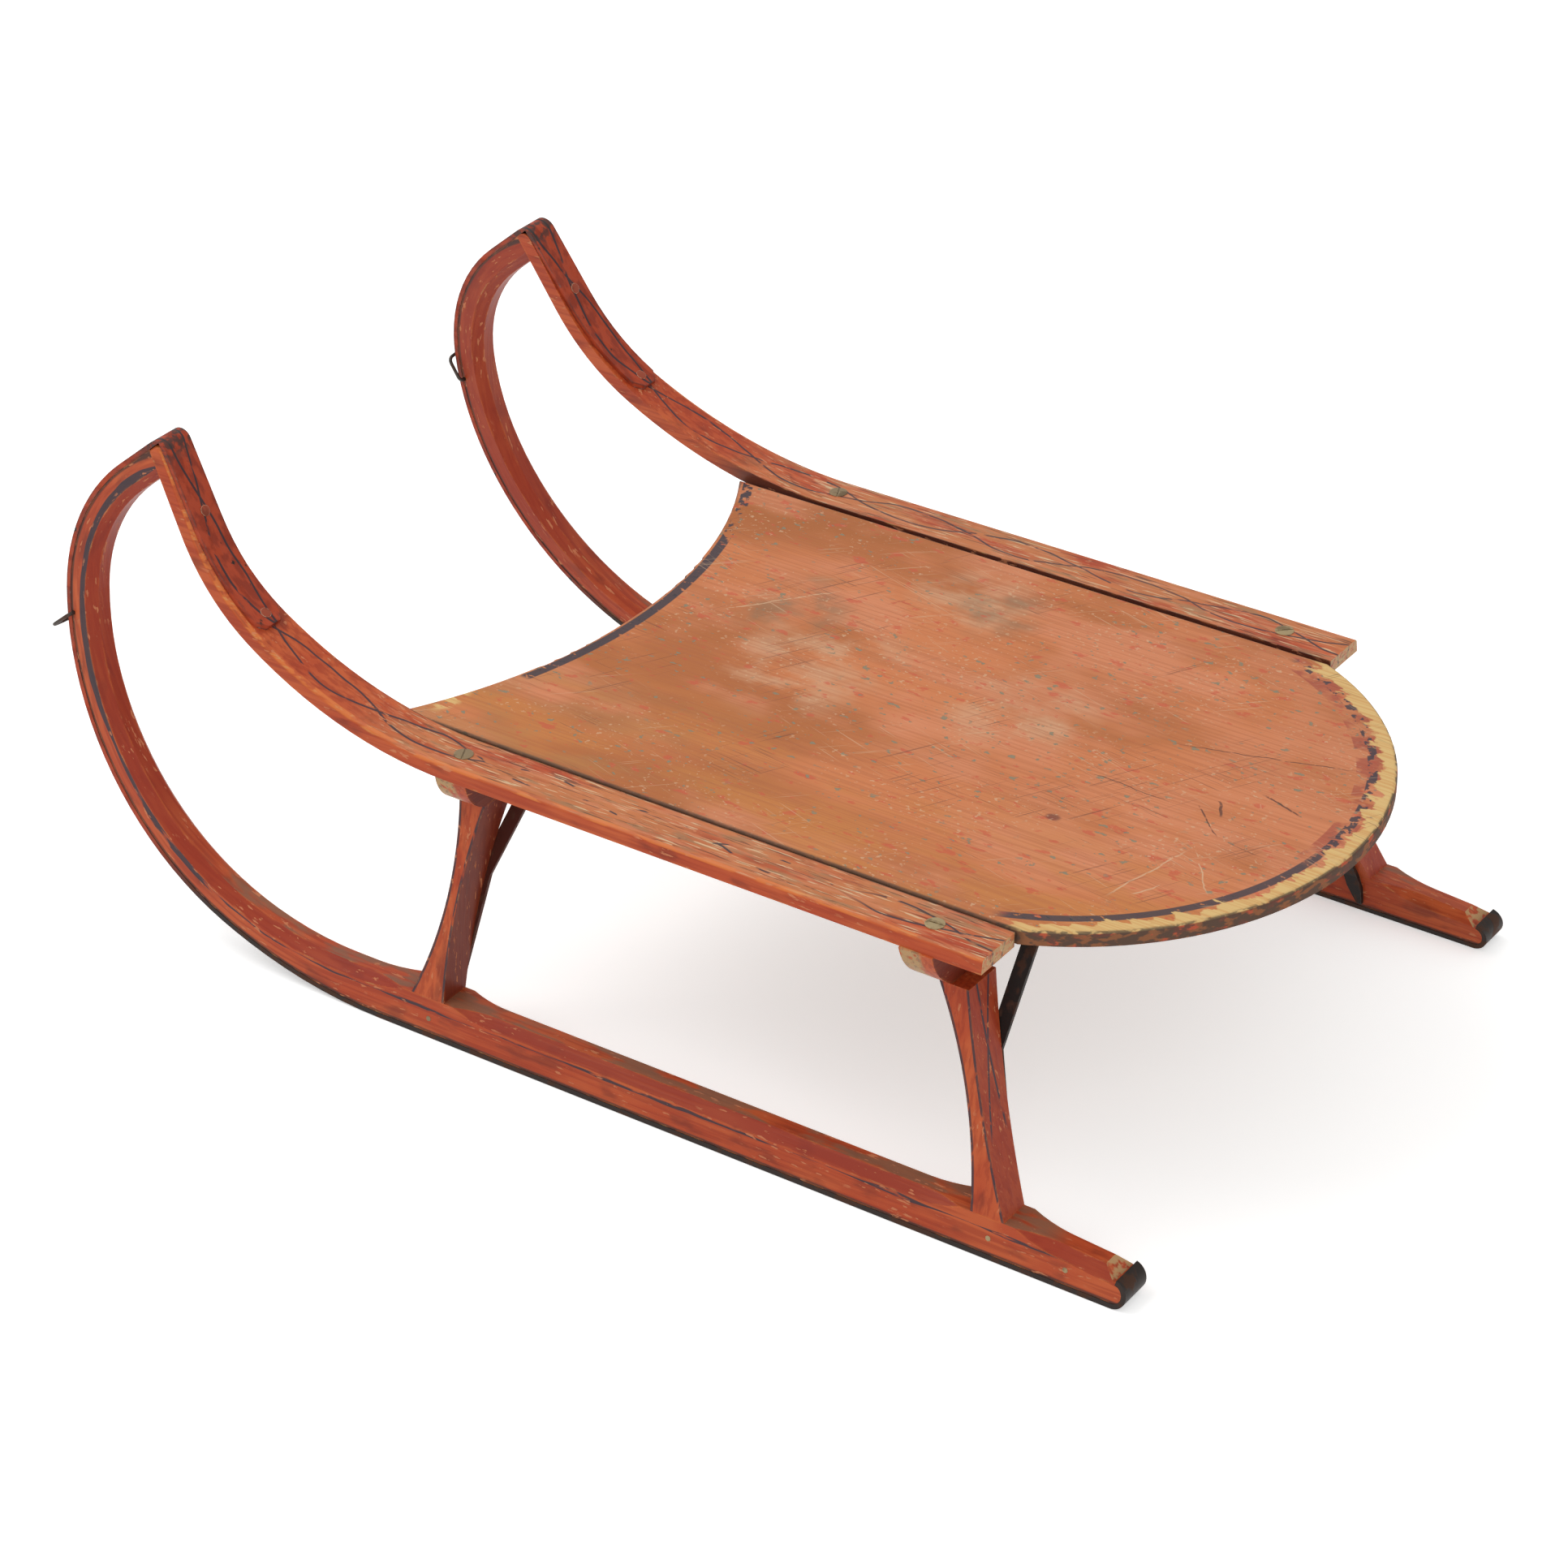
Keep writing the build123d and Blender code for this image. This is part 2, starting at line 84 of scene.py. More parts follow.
# Y and Z of the two ends of an arc, with a point on the way between them.
Arc = tuple[Pair, Pair, Pair]
# An sRGB hex, the share to which it covers, and the masks that it keeps within.
Layer = tuple[Any, ...]


class Kind(Enum):
    """Node types that the finishes are made of, with the operation where a type has several."""

    COORDINATES = "ShaderNodeTexCoord"
    GEOMETRY = "ShaderNodeNewGeometry"
    LIGHT_PATH = "ShaderNodeLightPath"
    SPLIT = "ShaderNodeSeparateXYZ"
    JOIN = "ShaderNodeCombineXYZ"
    RANGE = "ShaderNodeMapRange"
    MAPPING = "ShaderNodeMapping"
    NOISE = "ShaderNodeTexNoise"
    MIX = "ShaderNodeMix"
    EDGE = "ShaderNodeBevel"
    BUMP = "ShaderNodeBump"
    EMISSION = "ShaderNodeEmission"
    DIFFUSE = "ShaderNodeBsdfDiffuse"
    ADD_SHADER = "ShaderNodeAddShader"
    ADD = "ShaderNodeMath.ADD"
    SUBTRACT = "ShaderNodeMath.SUBTRACT"
    MULTIPLY = "ShaderNodeMath.MULTIPLY"
    MULTIPLY_ADD = "ShaderNodeMath.MULTIPLY_ADD"
    ABSOLUTE = "ShaderNodeMath.ABSOLUTE"
    SIGN = "ShaderNodeMath.SIGN"
    SINE = "ShaderNodeMath.SINE"
    ARCTAN2 = "ShaderNodeMath.ARCTAN2"
    MINIMUM = "ShaderNodeMath.MINIMUM"
    MAXIMUM = "ShaderNodeMath.MAXIMUM"
    LESS_THAN = "ShaderNodeMath.LESS_THAN"
    GREATER_THAN = "ShaderNodeMath.GREATER_THAN"
    SCALE = "ShaderNodeVectorMath.SCALE"
    STRETCH = "ShaderNodeVectorMath.MULTIPLY"
    SHIFT_BACK = "ShaderNodeVectorMath.SUBTRACT"
    CLIP = "ShaderNodeVectorMath.MINIMUM"
    DOT = "ShaderNodeVectorMath.DOT_PRODUCT"
    DISTANCE = "ShaderNodeVectorMath.DISTANCE"
    LENGTH = "ShaderNodeVectorMath.LENGTH"


class Side(Enum):
    """Side of the sled, with the sign of its X."""

    LEFT = 1
    RIGHT = -1


class Member(Enum):
    """Painted member of the frame, which decides how its grain runs and how it is striped."""

    RAIL = "rail"
    RUNNER = "runner"
    FRONT_POST = "front_post"
    REAR_POST = "rear_post"
    CROSSBAR = "crossbar"


def linear(hex_colour: str) -> tuple[float, float, float, float]:
    """Turn an sRGB hex value into linear RGBA.

    Args:
        hex_colour: colour as "#RRGGBB".

    Returns:
        Linear red, green, blue and an alpha of 1.
    """
    shares = [int(hex_colour[i:i + 2], 16) / 255 for i in (1, 3, 5)]
    red, green, blue = (s / 12.92 if s <= 0.04045 else ((s + 0.055) / 1.055) ** 2.4 for s in shares)
    return red, green, blue, 1.0


def circle_through(first: Pair, second: Pair, third: Pair) -> Circle:
    """Circle through three points of a curve.

    Args:
        first: Y and Z of one end.
        second: Y and Z of a point on the way.
        third: Y and Z of the other end.

    Returns:
        Y and Z of the centre, and the radius.
    """
    (ay, az), (by, bz), (cy, cz) = first, second, third
    twist = 2 * (ay * (bz - cz) + by * (cz - az) + cy * (az - bz))
    a, b, c = (y * y + z * z for y, z in (first, second, third))
    y = (a * (bz - cz) + b * (cz - az) + c * (az - bz)) / twist
    z = (a * (cy - by) + b * (ay - cy) + c * (by - ay)) / twist
    return y, z, math.hypot(ay - y, az - z)


def fill(node: bpy.types.Node, inputs: Mapping[int | str, Any]) -> None:
    """Give a node's inputs their values or links.

    Args:
        node: the node.
        inputs: value or socket for each input, by its name or number.
    """
    for key, value in inputs.items():
        if isinstance(value, Socket):
            node.id_data.links.new(value, node.inputs[key])
        else:
            node.inputs[key].default_value = value


def add_node(
    tree: bpy.types.NodeTree,
    kind: Kind,
    inputs: Mapping[int | str, Any] | Sequence[Any] = (),
    output: int | str = 0,
    **settings: Any,
) -> Socket:
    """Add one node with its settings and links.

    Args:
        tree: node tree of a material or of the world.
        kind: type of the node, and its operation.
        inputs: values or sockets for the node's inputs, in order or by name.
        output: output that is handed back.
        **settings: properties of the node.

    Returns:
        The chosen output socket.
    """
    node_type, _, operation = kind.value.partition(".")
    node = tree.nodes.new(node_type)
    if operation:
        node.operation = operation
    for name, value in settings.items():
        setattr(node, name, value)
    fill(node, inputs if isinstance(inputs, Mapping) else dict(enumerate(inputs)))
    return node.outputs[output]


@dataclass
class Canvas:
    """Node tree of a finish, with the places and directions that its patterns are drawn from.

    The point is in millimetres in the sled's frame. flat is the point without its X, plan without
    its Z, and aside is the distance from the sled's middle. upward and outward say how far a face
    looks up or back, and away from the middle.
    """

    material: bpy.types.Material
    add: Drawing
    point: Socket
    normal: Socket
    flat: Socket
    plan: Socket
    x: Socket
    y: Socket
    z: Socket
    nx: Socket
    ny: Socket
    nz: Socket
    aside: Socket
    upward: Socket
    outward: Socket

    @classmethod
    def named(cls, name: str) -> "Canvas":
        """Start a finish.

        Args:
            name: name of the material.

        Returns:
            An empty canvas.
        """
        material = bpy.data.materials.new(name)
        material.use_nodes = True
        add = partial(add_node, material.node_tree)
        place = add(Kind.COORDINATES, output="Object")
        point = add(Kind.SCALE, {"Vector": place, "Scale": 1 / MM})
        normal = add(Kind.GEOMETRY, output="Normal")
        flat, plan = (add(Kind.STRETCH, [point, kept]) for kept in ((0, 1, 1), (1, 1, 0)))
        x, y, z = (add(Kind.SPLIT, [point], axis) for axis in "XYZ")
        nx, ny, nz = (add(Kind.SPLIT, [normal], axis) for axis in "XYZ")
        aside = add(Kind.ABSOLUTE, [x])
        upward = add(Kind.ADD, [ny, nz])
        outward = add(Kind.MULTIPLY, [add(Kind.SIGN, [x]), nx])
        return cls(material, add, point, normal, flat, plan, x, y, z, nx, ny, nz, aside, upward, outward)

    def noise(self, place: Socket, size: Triple, seed: float, detail: float = 3, turn: float = 0) -> Socket:
        """Noise of a given grain size.

        Args:
            place: where on the member, in millimetres.
            size: size of a grain along the three axes of place.
            seed: number that keeps two patterns apart.
            detail: how ragged it is.
            turn: turn of the pattern about the third axis, in degrees.

        Returns:
            A value that swings about 0.5.
        """
        spot = self.add(Kind.MAPPING, {
            "Vector": place,
            "Location": tuple(seed * step for step in SEED_STEPS),
            "Rotation": (0, 0, math.radians(turn)),
        })
        fitted = self.add(Kind.STRETCH, [spot, tuple(1 / s for s in size)])
        return self.add(Kind.NOISE, {"Vector": fitted, "Scale": 1, "Detail": detail})

    def patches(self, place: Socket, size: Triple, low: float, high: float, *grain: float) -> Socket:
        """Patches, streaks or scratches that go from 0 to 1 between two values of the noise."""
        return self.ramp(self.noise(place, size, *grain), low, high)

    def ramp(self, value: Socket, low: float, high: float) -> Socket:
        """Mask that goes smoothly from 0 at low to 1 at high."""
        return self.add(Kind.RANGE, [value, low, high], interpolation_type="SMOOTHSTEP")

    def window(self, value: Socket, rise: Pair, fall: Pair) -> Socket:
        """Mask that rises over one pair of values and falls over another."""
        return self.overlap(self.ramp(value, *rise), self.ramp(value, *fall))

    def overlap(self, *masks: Socket | float) -> Socket:
        """Mask that holds where all the given masks do."""
        return reduce(lambda one, other: self.add(Kind.MULTIPLY, [one, other]), masks)

    def either(self, *masks: Socket) -> Socket:
        """Mask that holds where any of the given masks does."""
        return reduce(lambda one, other: self.add(Kind.MAXIMUM, [one, other]), masks)

    def off(self, value: Socket, target: Socket | float) -> Socket:
        """How far a value is from another, either way."""
        return self.add(Kind.ABSOLUTE, [self.add(Kind.SUBTRACT, [value, target])])

    def blend(self, share: Socket, low: Socket | float, high: Socket | float) -> Socket:
        """Value that goes from low to high with a share from 0 to 1."""
        return self.add(Kind.MIX, {0: share, 2: low, 3: high})

    def beyond(self, place: Socket, circle: Circle) -> Socket:
        """How far flat, plan or a like place lies outside a circle.

        Args:
            place: a place with one axis taken out.
            circle: Y and Z of the centre, whose X is 0, and the radius.

        Returns:
            The distance, less than 0 inside the circle.
        """
        y, z, radius = circle
        reach = self.add(Kind.DISTANCE, [place, (0, y, z)], "Value")
        return self.add(Kind.SUBTRACT, [reach, radius])

    def worn_edges(self, radius: float, low: float = 0.004, high: float = 0.06) -> Socket:
        """Mask of the arrises, where a rounded normal leaves the true one.

        Args:
            radius: how far wear reaches from the arris, in millimetres.
            low: difference at which wear starts.
            high: difference at which it is full.

        Returns:
            A mask from 0 on the flats to 1 on the arris.
        """
        rounded = self.add(Kind.EDGE, {"Radius": radius * MM}, samples=3)
        likeness = self.add(Kind.DOT, [rounded, self.normal], "Value")
        return self.ramp(self.add(Kind.SUBTRACT, [1, likeness]), low, high)

    def layered(self, base: str, layers: Sequence[Layer]) -> Socket:
        """Lay colours over a ground colour.

        Args:
            base: sRGB hex of the ground.
            layers: hex, cover and masks of each layer, from the ground up.

        Returns:
            The finished colour.
        """
        colour: Any = linear(base)
        for tint, cover, *masks in layers:
            mask = self.overlap(*masks, cover)
            colour = self.add(Kind.MIX, {0: mask, 6: colour, 7: linear(tint)}, 2, data_type="RGBA")
        return colour

    def finished(
        self,
        colour: Socket,
        roughness: Socket,
        height: Socket,
        relief: float,
        metallic: Socket | float = 0.0,
        specular: float = 0.25,
    ) -> bpy.types.Material:
        """Set the shader of the finish.

        Args:
            colour: colour of the surface.
            roughness: roughness of the surface.
            height: pattern that stands proud where it is 1.
            relief: how proud, in millimetres.
            metallic: share of bare metal.
            specular: strength of the gloss, low for old dry paint.

        Returns:
            The finished material.
        """
        fill(self.material.node_tree.nodes["Principled BSDF"], {
            "Base Color": colour,
            "Roughness": roughness,
            "Metallic": metallic,
            "Specular IOR Level": specular,
            "Normal": self.add(Kind.BUMP, {"Height": height, "Distance": relief * MM, "Strength": 1}),
        })
        return self.material


@dataclass(frozen=True)
class SideLines:
    """Curves of a side frame, as they are on the drawing, for stripes and wear that follow them."""

    half_track: float = 246.0
    lean: float = 0.1157
    rail_top: float = 210.0
    rail_bend_y: float = -98.0
    rail_crook: Circle = (-188.0, 388.6, 154.5)
    strap: float = 3.5
    inner_low: Circle = (-188.4, 288.2, 258.7)
    outer_low: Circle = (-155.0, 371.0, 367.5)
    bow: Circle = (-208.94, 237.52, 204.0)
    crest: Circle = (-300.94, 237.52, 112.0)
    bow_wood: float = 19.5
    bow_start: float = 22.0
    braid_period: float = 92.0
    braid_phase: float = 0.4
    braid_drift: float = 9.0
    braid_drift_length: float = 45.0

    def middle(self, z: float) -> float:
        """X of a side frame's middle at a height."""
        return self.half_track - self.lean * z

    def across(self, canvas: Canvas) -> Socket:
        """Distance outwards from the middle of the side frame."""
        upright = canvas.add(Kind.MULTIPLY_ADD, [canvas.z, self.lean, canvas.aside])
        return canvas.add(Kind.SUBTRACT, [upright, self.half_track])

    def along_rail(self, canvas: Canvas) -> Socket:
        """Measure along the rail.

        Args:
            canvas: finish that is drawn.

        Returns:
            Length forwards from the middle of the sled, and up the bend.
        """
        clipped = canvas.add(Kind.CLIP, [canvas.flat, (0, self.rail_bend_y, BEYOND)])
        bent = canvas.beyond(clipped, (self.rail_bend_y, self.rail_top, 0))
        forwards = canvas.add(Kind.MULTIPLY, [canvas.y, -1])
        straight = canvas.add(Kind.MINIMUM, [forwards, -self.rail_bend_y])
        return canvas.add(Kind.ADD, [straight, bent])

    def along_runner(self, canvas: Canvas) -> Socket:
        """Measure along the runner.

        Args:
            canvas: finish that is drawn.

        Returns:
            Length forwards from the middle of the sled, and round the bow.
        """
        y, z, radius = self.bow
        ahead = canvas.add(Kind.SUBTRACT, [y, canvas.y])
        below = canvas.add(Kind.SUBTRACT, [z, canvas.z])
        turned = canvas.add(Kind.ARCTAN2, [ahead, below])
        bent = canvas.add(Kind.MULTIPLY_ADD, [turned, radius + self.bow_wood / 2, -y])
        straight = canvas.add(Kind.MULTIPLY, [canvas.y, -1])
        return canvas.blend(canvas.add(Kind.GREATER_THAN, [ahead, 0]), straight, bent)

    def runner_depths(self, canvas: Canvas) -> tuple[Socket, Socket]:
        """Follow the runner's curves.

        Args:
            canvas: finish that is drawn.

        Returns:
            Depth below the runner's upper face, and height over the iron shoe.
        """
        upper, lower = (
            canvas.beyond(canvas.add(Kind.CLIP, [canvas.flat, (0, circle[0], BEYOND)]), circle)
            for circle in (self.inner_low, self.outer_low)
        )
        bow_y, bow_z, _ = self.bow
        slope = math.tan(math.radians(self.bow_start))
        line = canvas.add(Kind.MULTIPLY_ADD, [canvas.z, slope, bow_y - slope * bow_z])
        in_bow = canvas.add(Kind.LESS_THAN, [canvas.y, line])
        in_crest = canvas.add(Kind.GREATER_THAN, [canvas.z, self.crest[1]])
        depth = canvas.blend(in_bow, upper, canvas.beyond(canvas.flat, self.bow))
        depth = canvas.blend(in_crest, depth, canvas.beyond(canvas.flat, self.crest))
        low_over = canvas.add(Kind.MULTIPLY, [lower, -1])
        bow_over = canvas.add(Kind.SUBTRACT, [self.bow_wood, depth])
        return depth, canvas.blend(canvas.either(in_bow, in_crest), low_over, bow_over)

    def braid(self, canvas: Canvas, spread: float, width: float) -> Socket:
        """Two pinstripes that cross and part again along the upper face of the rail.

        Args:
            canvas: finish that is drawn.
            spread: how far they part from the middle line, in millimetres.
            width: width of one line.

        Returns:
            A mask of the lines, on faces that look up.
        """
        along = self.along_rail(canvas)
        place = canvas.add(Kind.JOIN, [canvas.x, along, 0])
        wobble = canvas.add(Kind.NOISE, {"Vector": place, "Scale": 1 / self.braid_drift_length, "Detail": 1})
        drift = canvas.add(Kind.MULTIPLY_ADD, [wobble, self.braid_drift, -self.braid_drift / 2])
        aside = canvas.add(Kind.ABSOLUTE, [canvas.add(Kind.ADD, [self.across(canvas), drift])])
        phase = canvas.add(Kind.MULTIPLY_ADD, [along, math.pi / self.braid_period, self.braid_phase])
        swing = canvas.add(Kind.ABSOLUTE, [canvas.add(Kind.SINE, [phase])])
        off = canvas.off(aside, canvas.overlap(swing, spread))
        flank = canvas.add(Kind.ABSOLUTE, [canvas.nx])
        return canvas.overlap(canvas.ramp(off, width * 0.62, width * 0.38),
                              canvas.ramp(canvas.upward, 0.3, 0.5), canvas.ramp(flank, 0.45, 0.25))


SIDE_LINES = SideLines()


@dataclass(frozen=True)
class Stroke:
    """A single straight scratch or crack on the deck, from one X and Y to another."""

    start: Pair
    end: Pair
    width: float


@dataclass(frozen=True)
class DeckPaint:
    """Terracotta oil paint on a pine board, brushed with the grain, rubbed thin by boots and clothes.

    The eye sees matt, cloudy colour from ochre to salmon with a pale bloom in the middle, olive
    dirt towards the front, grey chips, a few scratches and cracks, a broken dark border line, and
    yellow pine where the tail was worn to the wood, with an edge below it darkened by dirt and painted
    shade. The side faces are darkened by dirt and painted shade, and the joints beside the rails by
    painted shade.
    """

    ground: str = "#CB7B4C"
    brown: str = "#A5602F"
    salmon: str = "#D48862"
    ochre: str = "#C37C40"
    olive: str = "#98794C"
    smudge: str = "#7D6A50"
    streak: str = "#A9603A"
    bloom: str = "#CFA27E"
    red: str = "#C4533A"
    chip: str = "#87826C"
    line: str = "#3A3942"
    stain: str = "#9C4136"
    pine: str = "#D9B679"
    # Dark grime; on the deck's rim it also serves as painted shade.
    grime_and_shade: str = "#4A4039"
    # Darker brown of the side faces: dirt and painted shade together.
    side: str = "#8C5A3C"
    # Painted shade along the joints beside the rails.
    joint_shade: str = "#4A3526"
    pale_scratch: str = "#D3B08C"
    dark_scratch: str = "#5B3A30"
    knot: str = "#5E3330"
    underside: str = "#94734F"
    half_width: float = 200.0
    front_arc: Circle = (-507.1, 0.0, 391.1)
    tail_arc: Circle = (228.2, 0.0, 218.6)
    front_line: Pair = (3.6, 11.0)
    tail_line: Pair = (13.0, 19.5)
    tail_stain: Pair = (10.0, 27.0)
    stroke_drift: float = 5.0
    bare_corner: Oval = (168.0, -151.0, 24.0, 11.0)
    knot_place: Oval = (74.0, 265.0, 5.0, 7.0)
    blooms: tuple[Oval, ...] = (
        (-30.0, 178.0, 70.0, 62.0),
        (-140.0, 70.0, 52.0, 58.0),
        (-5.0, 25.0, 90.0, 75.0),
    )
    smudges: tuple[Oval, ...] = (
        (-62.0, -28.0, 66.0, 44.0),
        (-134.0, 96.0, 46.0, 40.0),
    )
    cracks: tuple[Stroke, ...] = (
        Stroke((-48.0, 278.0), (-86.0, 407.0), 0.9),
        Stroke((13.0, 254.0), (16.0, 321.0), 0.8),
        Stroke((-25.0, 362.0), (-15.0, 400.0), 1.5),
        Stroke((-4.0, 343.0), (15.0, 356.0), 1.8),
        Stroke((8.0, 334.0), (38.0, 366.0), 1.0),
    )
    rubs: tuple[Stroke, ...] = (
        Stroke((139.0, 340.0), (57.0, 359.0), 1.3),
        Stroke((127.0, 353.0), (105.0, 364.0), 1.1),
        Stroke((56.0, 360.0), (102.0, 395.0), 0.9),
        Stroke((-105.0, -12.0), (-30.0, -72.0), 1.0),
    )

    def build(self) -> bpy.types.Material:
        """Draw the deck's paint, line, wear and scratches.

        Returns:
            The finished material.
        """
        canvas = Canvas.named("worn_oil_paint_on_pine")
        patch = partial(canvas.patches, canvas.point)
        grain = patch((2.2, 190, 8), 0.44, 0.62, 4)
        under = canvas.ramp(canvas.nz, -0.3, -0.6)
        chips = canvas.overlap(patch((4.5, 8, 5), 0.645, 0.66, 8, 4), patch((70, 110, 50), 0.40, 0.50, 18))
        specks = canvas.overlap(patch((2.6, 4.2, 3), 0.62, 0.66, 19, 4), patch((50, 70, 50), 0.42, 0.58, 20))
        bare = self.bare_wood(canvas)
        wander = canvas.noise(canvas.plan, (14, 14, 14), 9, 2)
        gaps = canvas.patches(canvas.plan, (6, 6, 6), 0.34, 0.46, 11)
        cuts, rubs = (
            canvas.overlap(canvas.either(*(self.stroke(canvas, wander, stroke) for stroke in strokes)), gaps)
            for strokes in (self.cracks, self.rubs)
        )
        colour = canvas.layered(self.ground, [
            *self.clouds(canvas),
            (self.streak, 0.35, grain),
            (self.red, 0.6, patch((7, 15, 7), 0.61, 0.67, 7, 6)),
            (self.knot, 0.7, self.spots(canvas, [self.knot_place])),
            (self.pale_scratch, 0.55, specks),
            (self.chip, 0.9, chips),
            *self.border(canvas),
            (self.pine, 1, bare),
            (self.ochre, 0.4, bare, grain),
            (self.pale_scratch, 0.4, self.hair_scratches(canvas, 0.745, ((18, 31), (-42, 32)))),
            (self.pale_scratch, 0.7, rubs),
            (self.dark_scratch, 0.5, self.hair_scratches(canvas, 0.735, ((8, 41), (-60, 42)))),
            (self.dark_scratch, 0.85, cuts),
            *self.edges(canvas),
            (self.underside, 1, under),
            (self.grime_and_shade, 0.5, under, grain),
        ])
        worn = canvas.either(bare, chips)
        film = canvas.add(Kind.MULTIPLY_ADD, [worn, -0.55, 0.8])
        film = canvas.add(Kind.MULTIPLY_ADD, [cuts, -0.4, film])
        height = canvas.add(Kind.MULTIPLY_ADD, [grain, 0.14, film])
        return canvas.finished(colour, canvas.blend(worn, 0.52, 0.8), height, 0.25)

    def clouds(self, canvas: Canvas) -> list[Layer]:
        """Broad changes of colour: ochre and olive on the left, brown, salmon, bloom and smudges beside.

        Args:
            canvas: finish that is drawn.

        Returns:
            The layers, from the ground up.
        """
        patch = partial(canvas.patches, canvas.point)
        left = canvas.ramp(canvas.x, 40, 150)
        right = canvas.ramp(canvas.x, -110, -180)
        front = canvas.ramp(canvas.y, 110, -60)
        tail = canvas.ramp(canvas.y, 150, 330)
        return [
            # Darker brown towards the right edge, beside the rail.
            (self.brown, 0.6, right, patch((30, 90, 40), 0.36, 0.6, 10)),
            (self.brown, 0.75, patch((90, 230, 90), 0.42, 0.62, 1)),
            (self.salmon, 0.7, patch((60, 120, 50), 0.46, 0.64, 2)),
            (self.salmon, 0.5, tail, patch((50, 90, 50), 0.42, 0.6, 3)),
            (self.ochre, 0.75, left, patch((34, 120, 40), 0.42, 0.62, 12)),
            (self.olive, 0.3, left, front, patch((30, 70, 40), 0.42, 0.62, 5)),
            (self.bloom, 0.7, self.spots(canvas, self.blooms), patch((26, 40, 20), 0.38, 0.66, 6, 6)),
            (self.smudge, 0.6, self.spots(canvas, self.smudges), patch((24, 34, 20), 0.40, 0.66, 13, 6)),
        ]

    def border(self, canvas: Canvas) -> list[Layer]:
        """Dark border line along the front and the tail, worn into a red stain on the right.

        Args:
            canvas: finish that is drawn.

        Returns:
            The layers, from the ground up.
        """
        patch = partial(canvas.patches, canvas.point)
        front = canvas.beyond(canvas.plan, self.front_arc)
        tail = self.inside_tail(canvas)
        behind = canvas.ramp(canvas.y, 290, 305)
        worn_tail = canvas.ramp(canvas.x, 40, 10)
        kept = patch((5, 9, 6), 0.32, 0.38, 21)
        sparse = patch((7, 8, 6), 0.50, 0.54, 22)
        front_kept = canvas.blend(canvas.ramp(canvas.x, -112, -122), kept, sparse)
        front_end = canvas.ramp(canvas.x, 121, 116)
        tail_kept = canvas.blend(worn_tail, kept, sparse)
        stained = patch((16, 22, 20), 0.42, 0.56, 9)
        return [
            (self.stain, 0.65, behind, worn_tail, self.band(canvas, tail, self.tail_stain), stained),
            (self.line, 0.93, self.band(canvas, front, self.front_line), front_end, front_kept),
            (self.line, 0.9, behind, self.band(canvas, tail, self.tail_line), tail_kept),
        ]

    def bare_wood(self, canvas: Canvas) -> Socket:
        """Wood that is worn bare along the tail and at the front left corner.

        Args:
            canvas: finish that is drawn.

        Returns:
            A mask of the wood.
        """
        fringe = canvas.noise(canvas.point, (7, 20, 10), 15, 5)
        rough = canvas.add(Kind.MULTIPLY_ADD, [fringe, 36, self.inside_tail(canvas)])
        rim = canvas.overlap(canvas.ramp(canvas.y, 296, 318), canvas.ramp(rough, 30, 28.2))
        corner = canvas.overlap(self.spots(canvas, [self.bare_corner]), canvas.ramp(fringe, 0.46, 0.5))
        return canvas.either(rim, corner)

    def edges(self, canvas: Canvas) -> list[Layer]:
        """Side faces and chipped rim darkened by dirt and painted shade, and painted shade in the joints
        beside the rails.

        Args:
            canvas: finish that is drawn.

        Returns:
            The layers, from the ground up.
        """
        patch = partial(canvas.patches, canvas.point)
        upright = canvas.ramp(canvas.nz, 0.72, 0.45)
        rim = canvas.ramp(canvas.nz, 0.97, 0.75)
        chipped = patch((9, 9, 4), 0.42, 0.52, 14)
        shaded_joint = canvas.ramp(canvas.aside, self.half_width - 3.2, self.half_width - 1.0)
        return [
            # The side colour and the grime on the rim are dirt and painted shade on the deck's edge.
            (self.side, 1, upright),
            (self.red, 0.7, upright, patch((12, 12, 6), 0.54, 0.62, 16)),
            (self.grime_and_shade, 0.65, rim, chipped, canvas.ramp(canvas.y, 270, 320)),
            (self.grime_and_shade, 0.45, rim, chipped),
            # Painted shade on the deck's edge where it meets the rail.
            (self.joint_shade, 0.75, shaded_joint, canvas.ramp(canvas.y, 322, 314)),
        ]

    def inside_tail(self, canvas: Canvas) -> Socket:
        """Distance inwards from the round tail."""
        return canvas.add(Kind.MULTIPLY, [canvas.beyond(canvas.plan, self.tail_arc), -1])

    def band(self, canvas: Canvas, distance: Socket, limits: Pair) -> Socket:
        """Mask between two distances from an edge, with slightly soft sides."""
        near, far = limits
        return canvas.window(distance, (near - 0.5, near + 0.3), (far + 0.5, far - 0.3))

    def spots(self, canvas: Canvas, ovals: Sequence[Oval]) -> Socket:
        """Soft oval spots.

        Args:
            canvas: finish that is drawn.
            ovals: where the spots are, and their radii.

        Returns:
            A mask of all the spots.
        """
        masks = []
        for x, y, across, along in ovals:
            moved = canvas.add(Kind.SHIFT_BACK, [canvas.plan, (x, y, 0)])
            fitted = canvas.add(Kind.STRETCH, [moved, (1 / across, 1 / along, 1)])
            masks.append(canvas.ramp(canvas.add(Kind.LENGTH, [fitted], "Value"), 1, 0.45))
        return canvas.either(*masks)

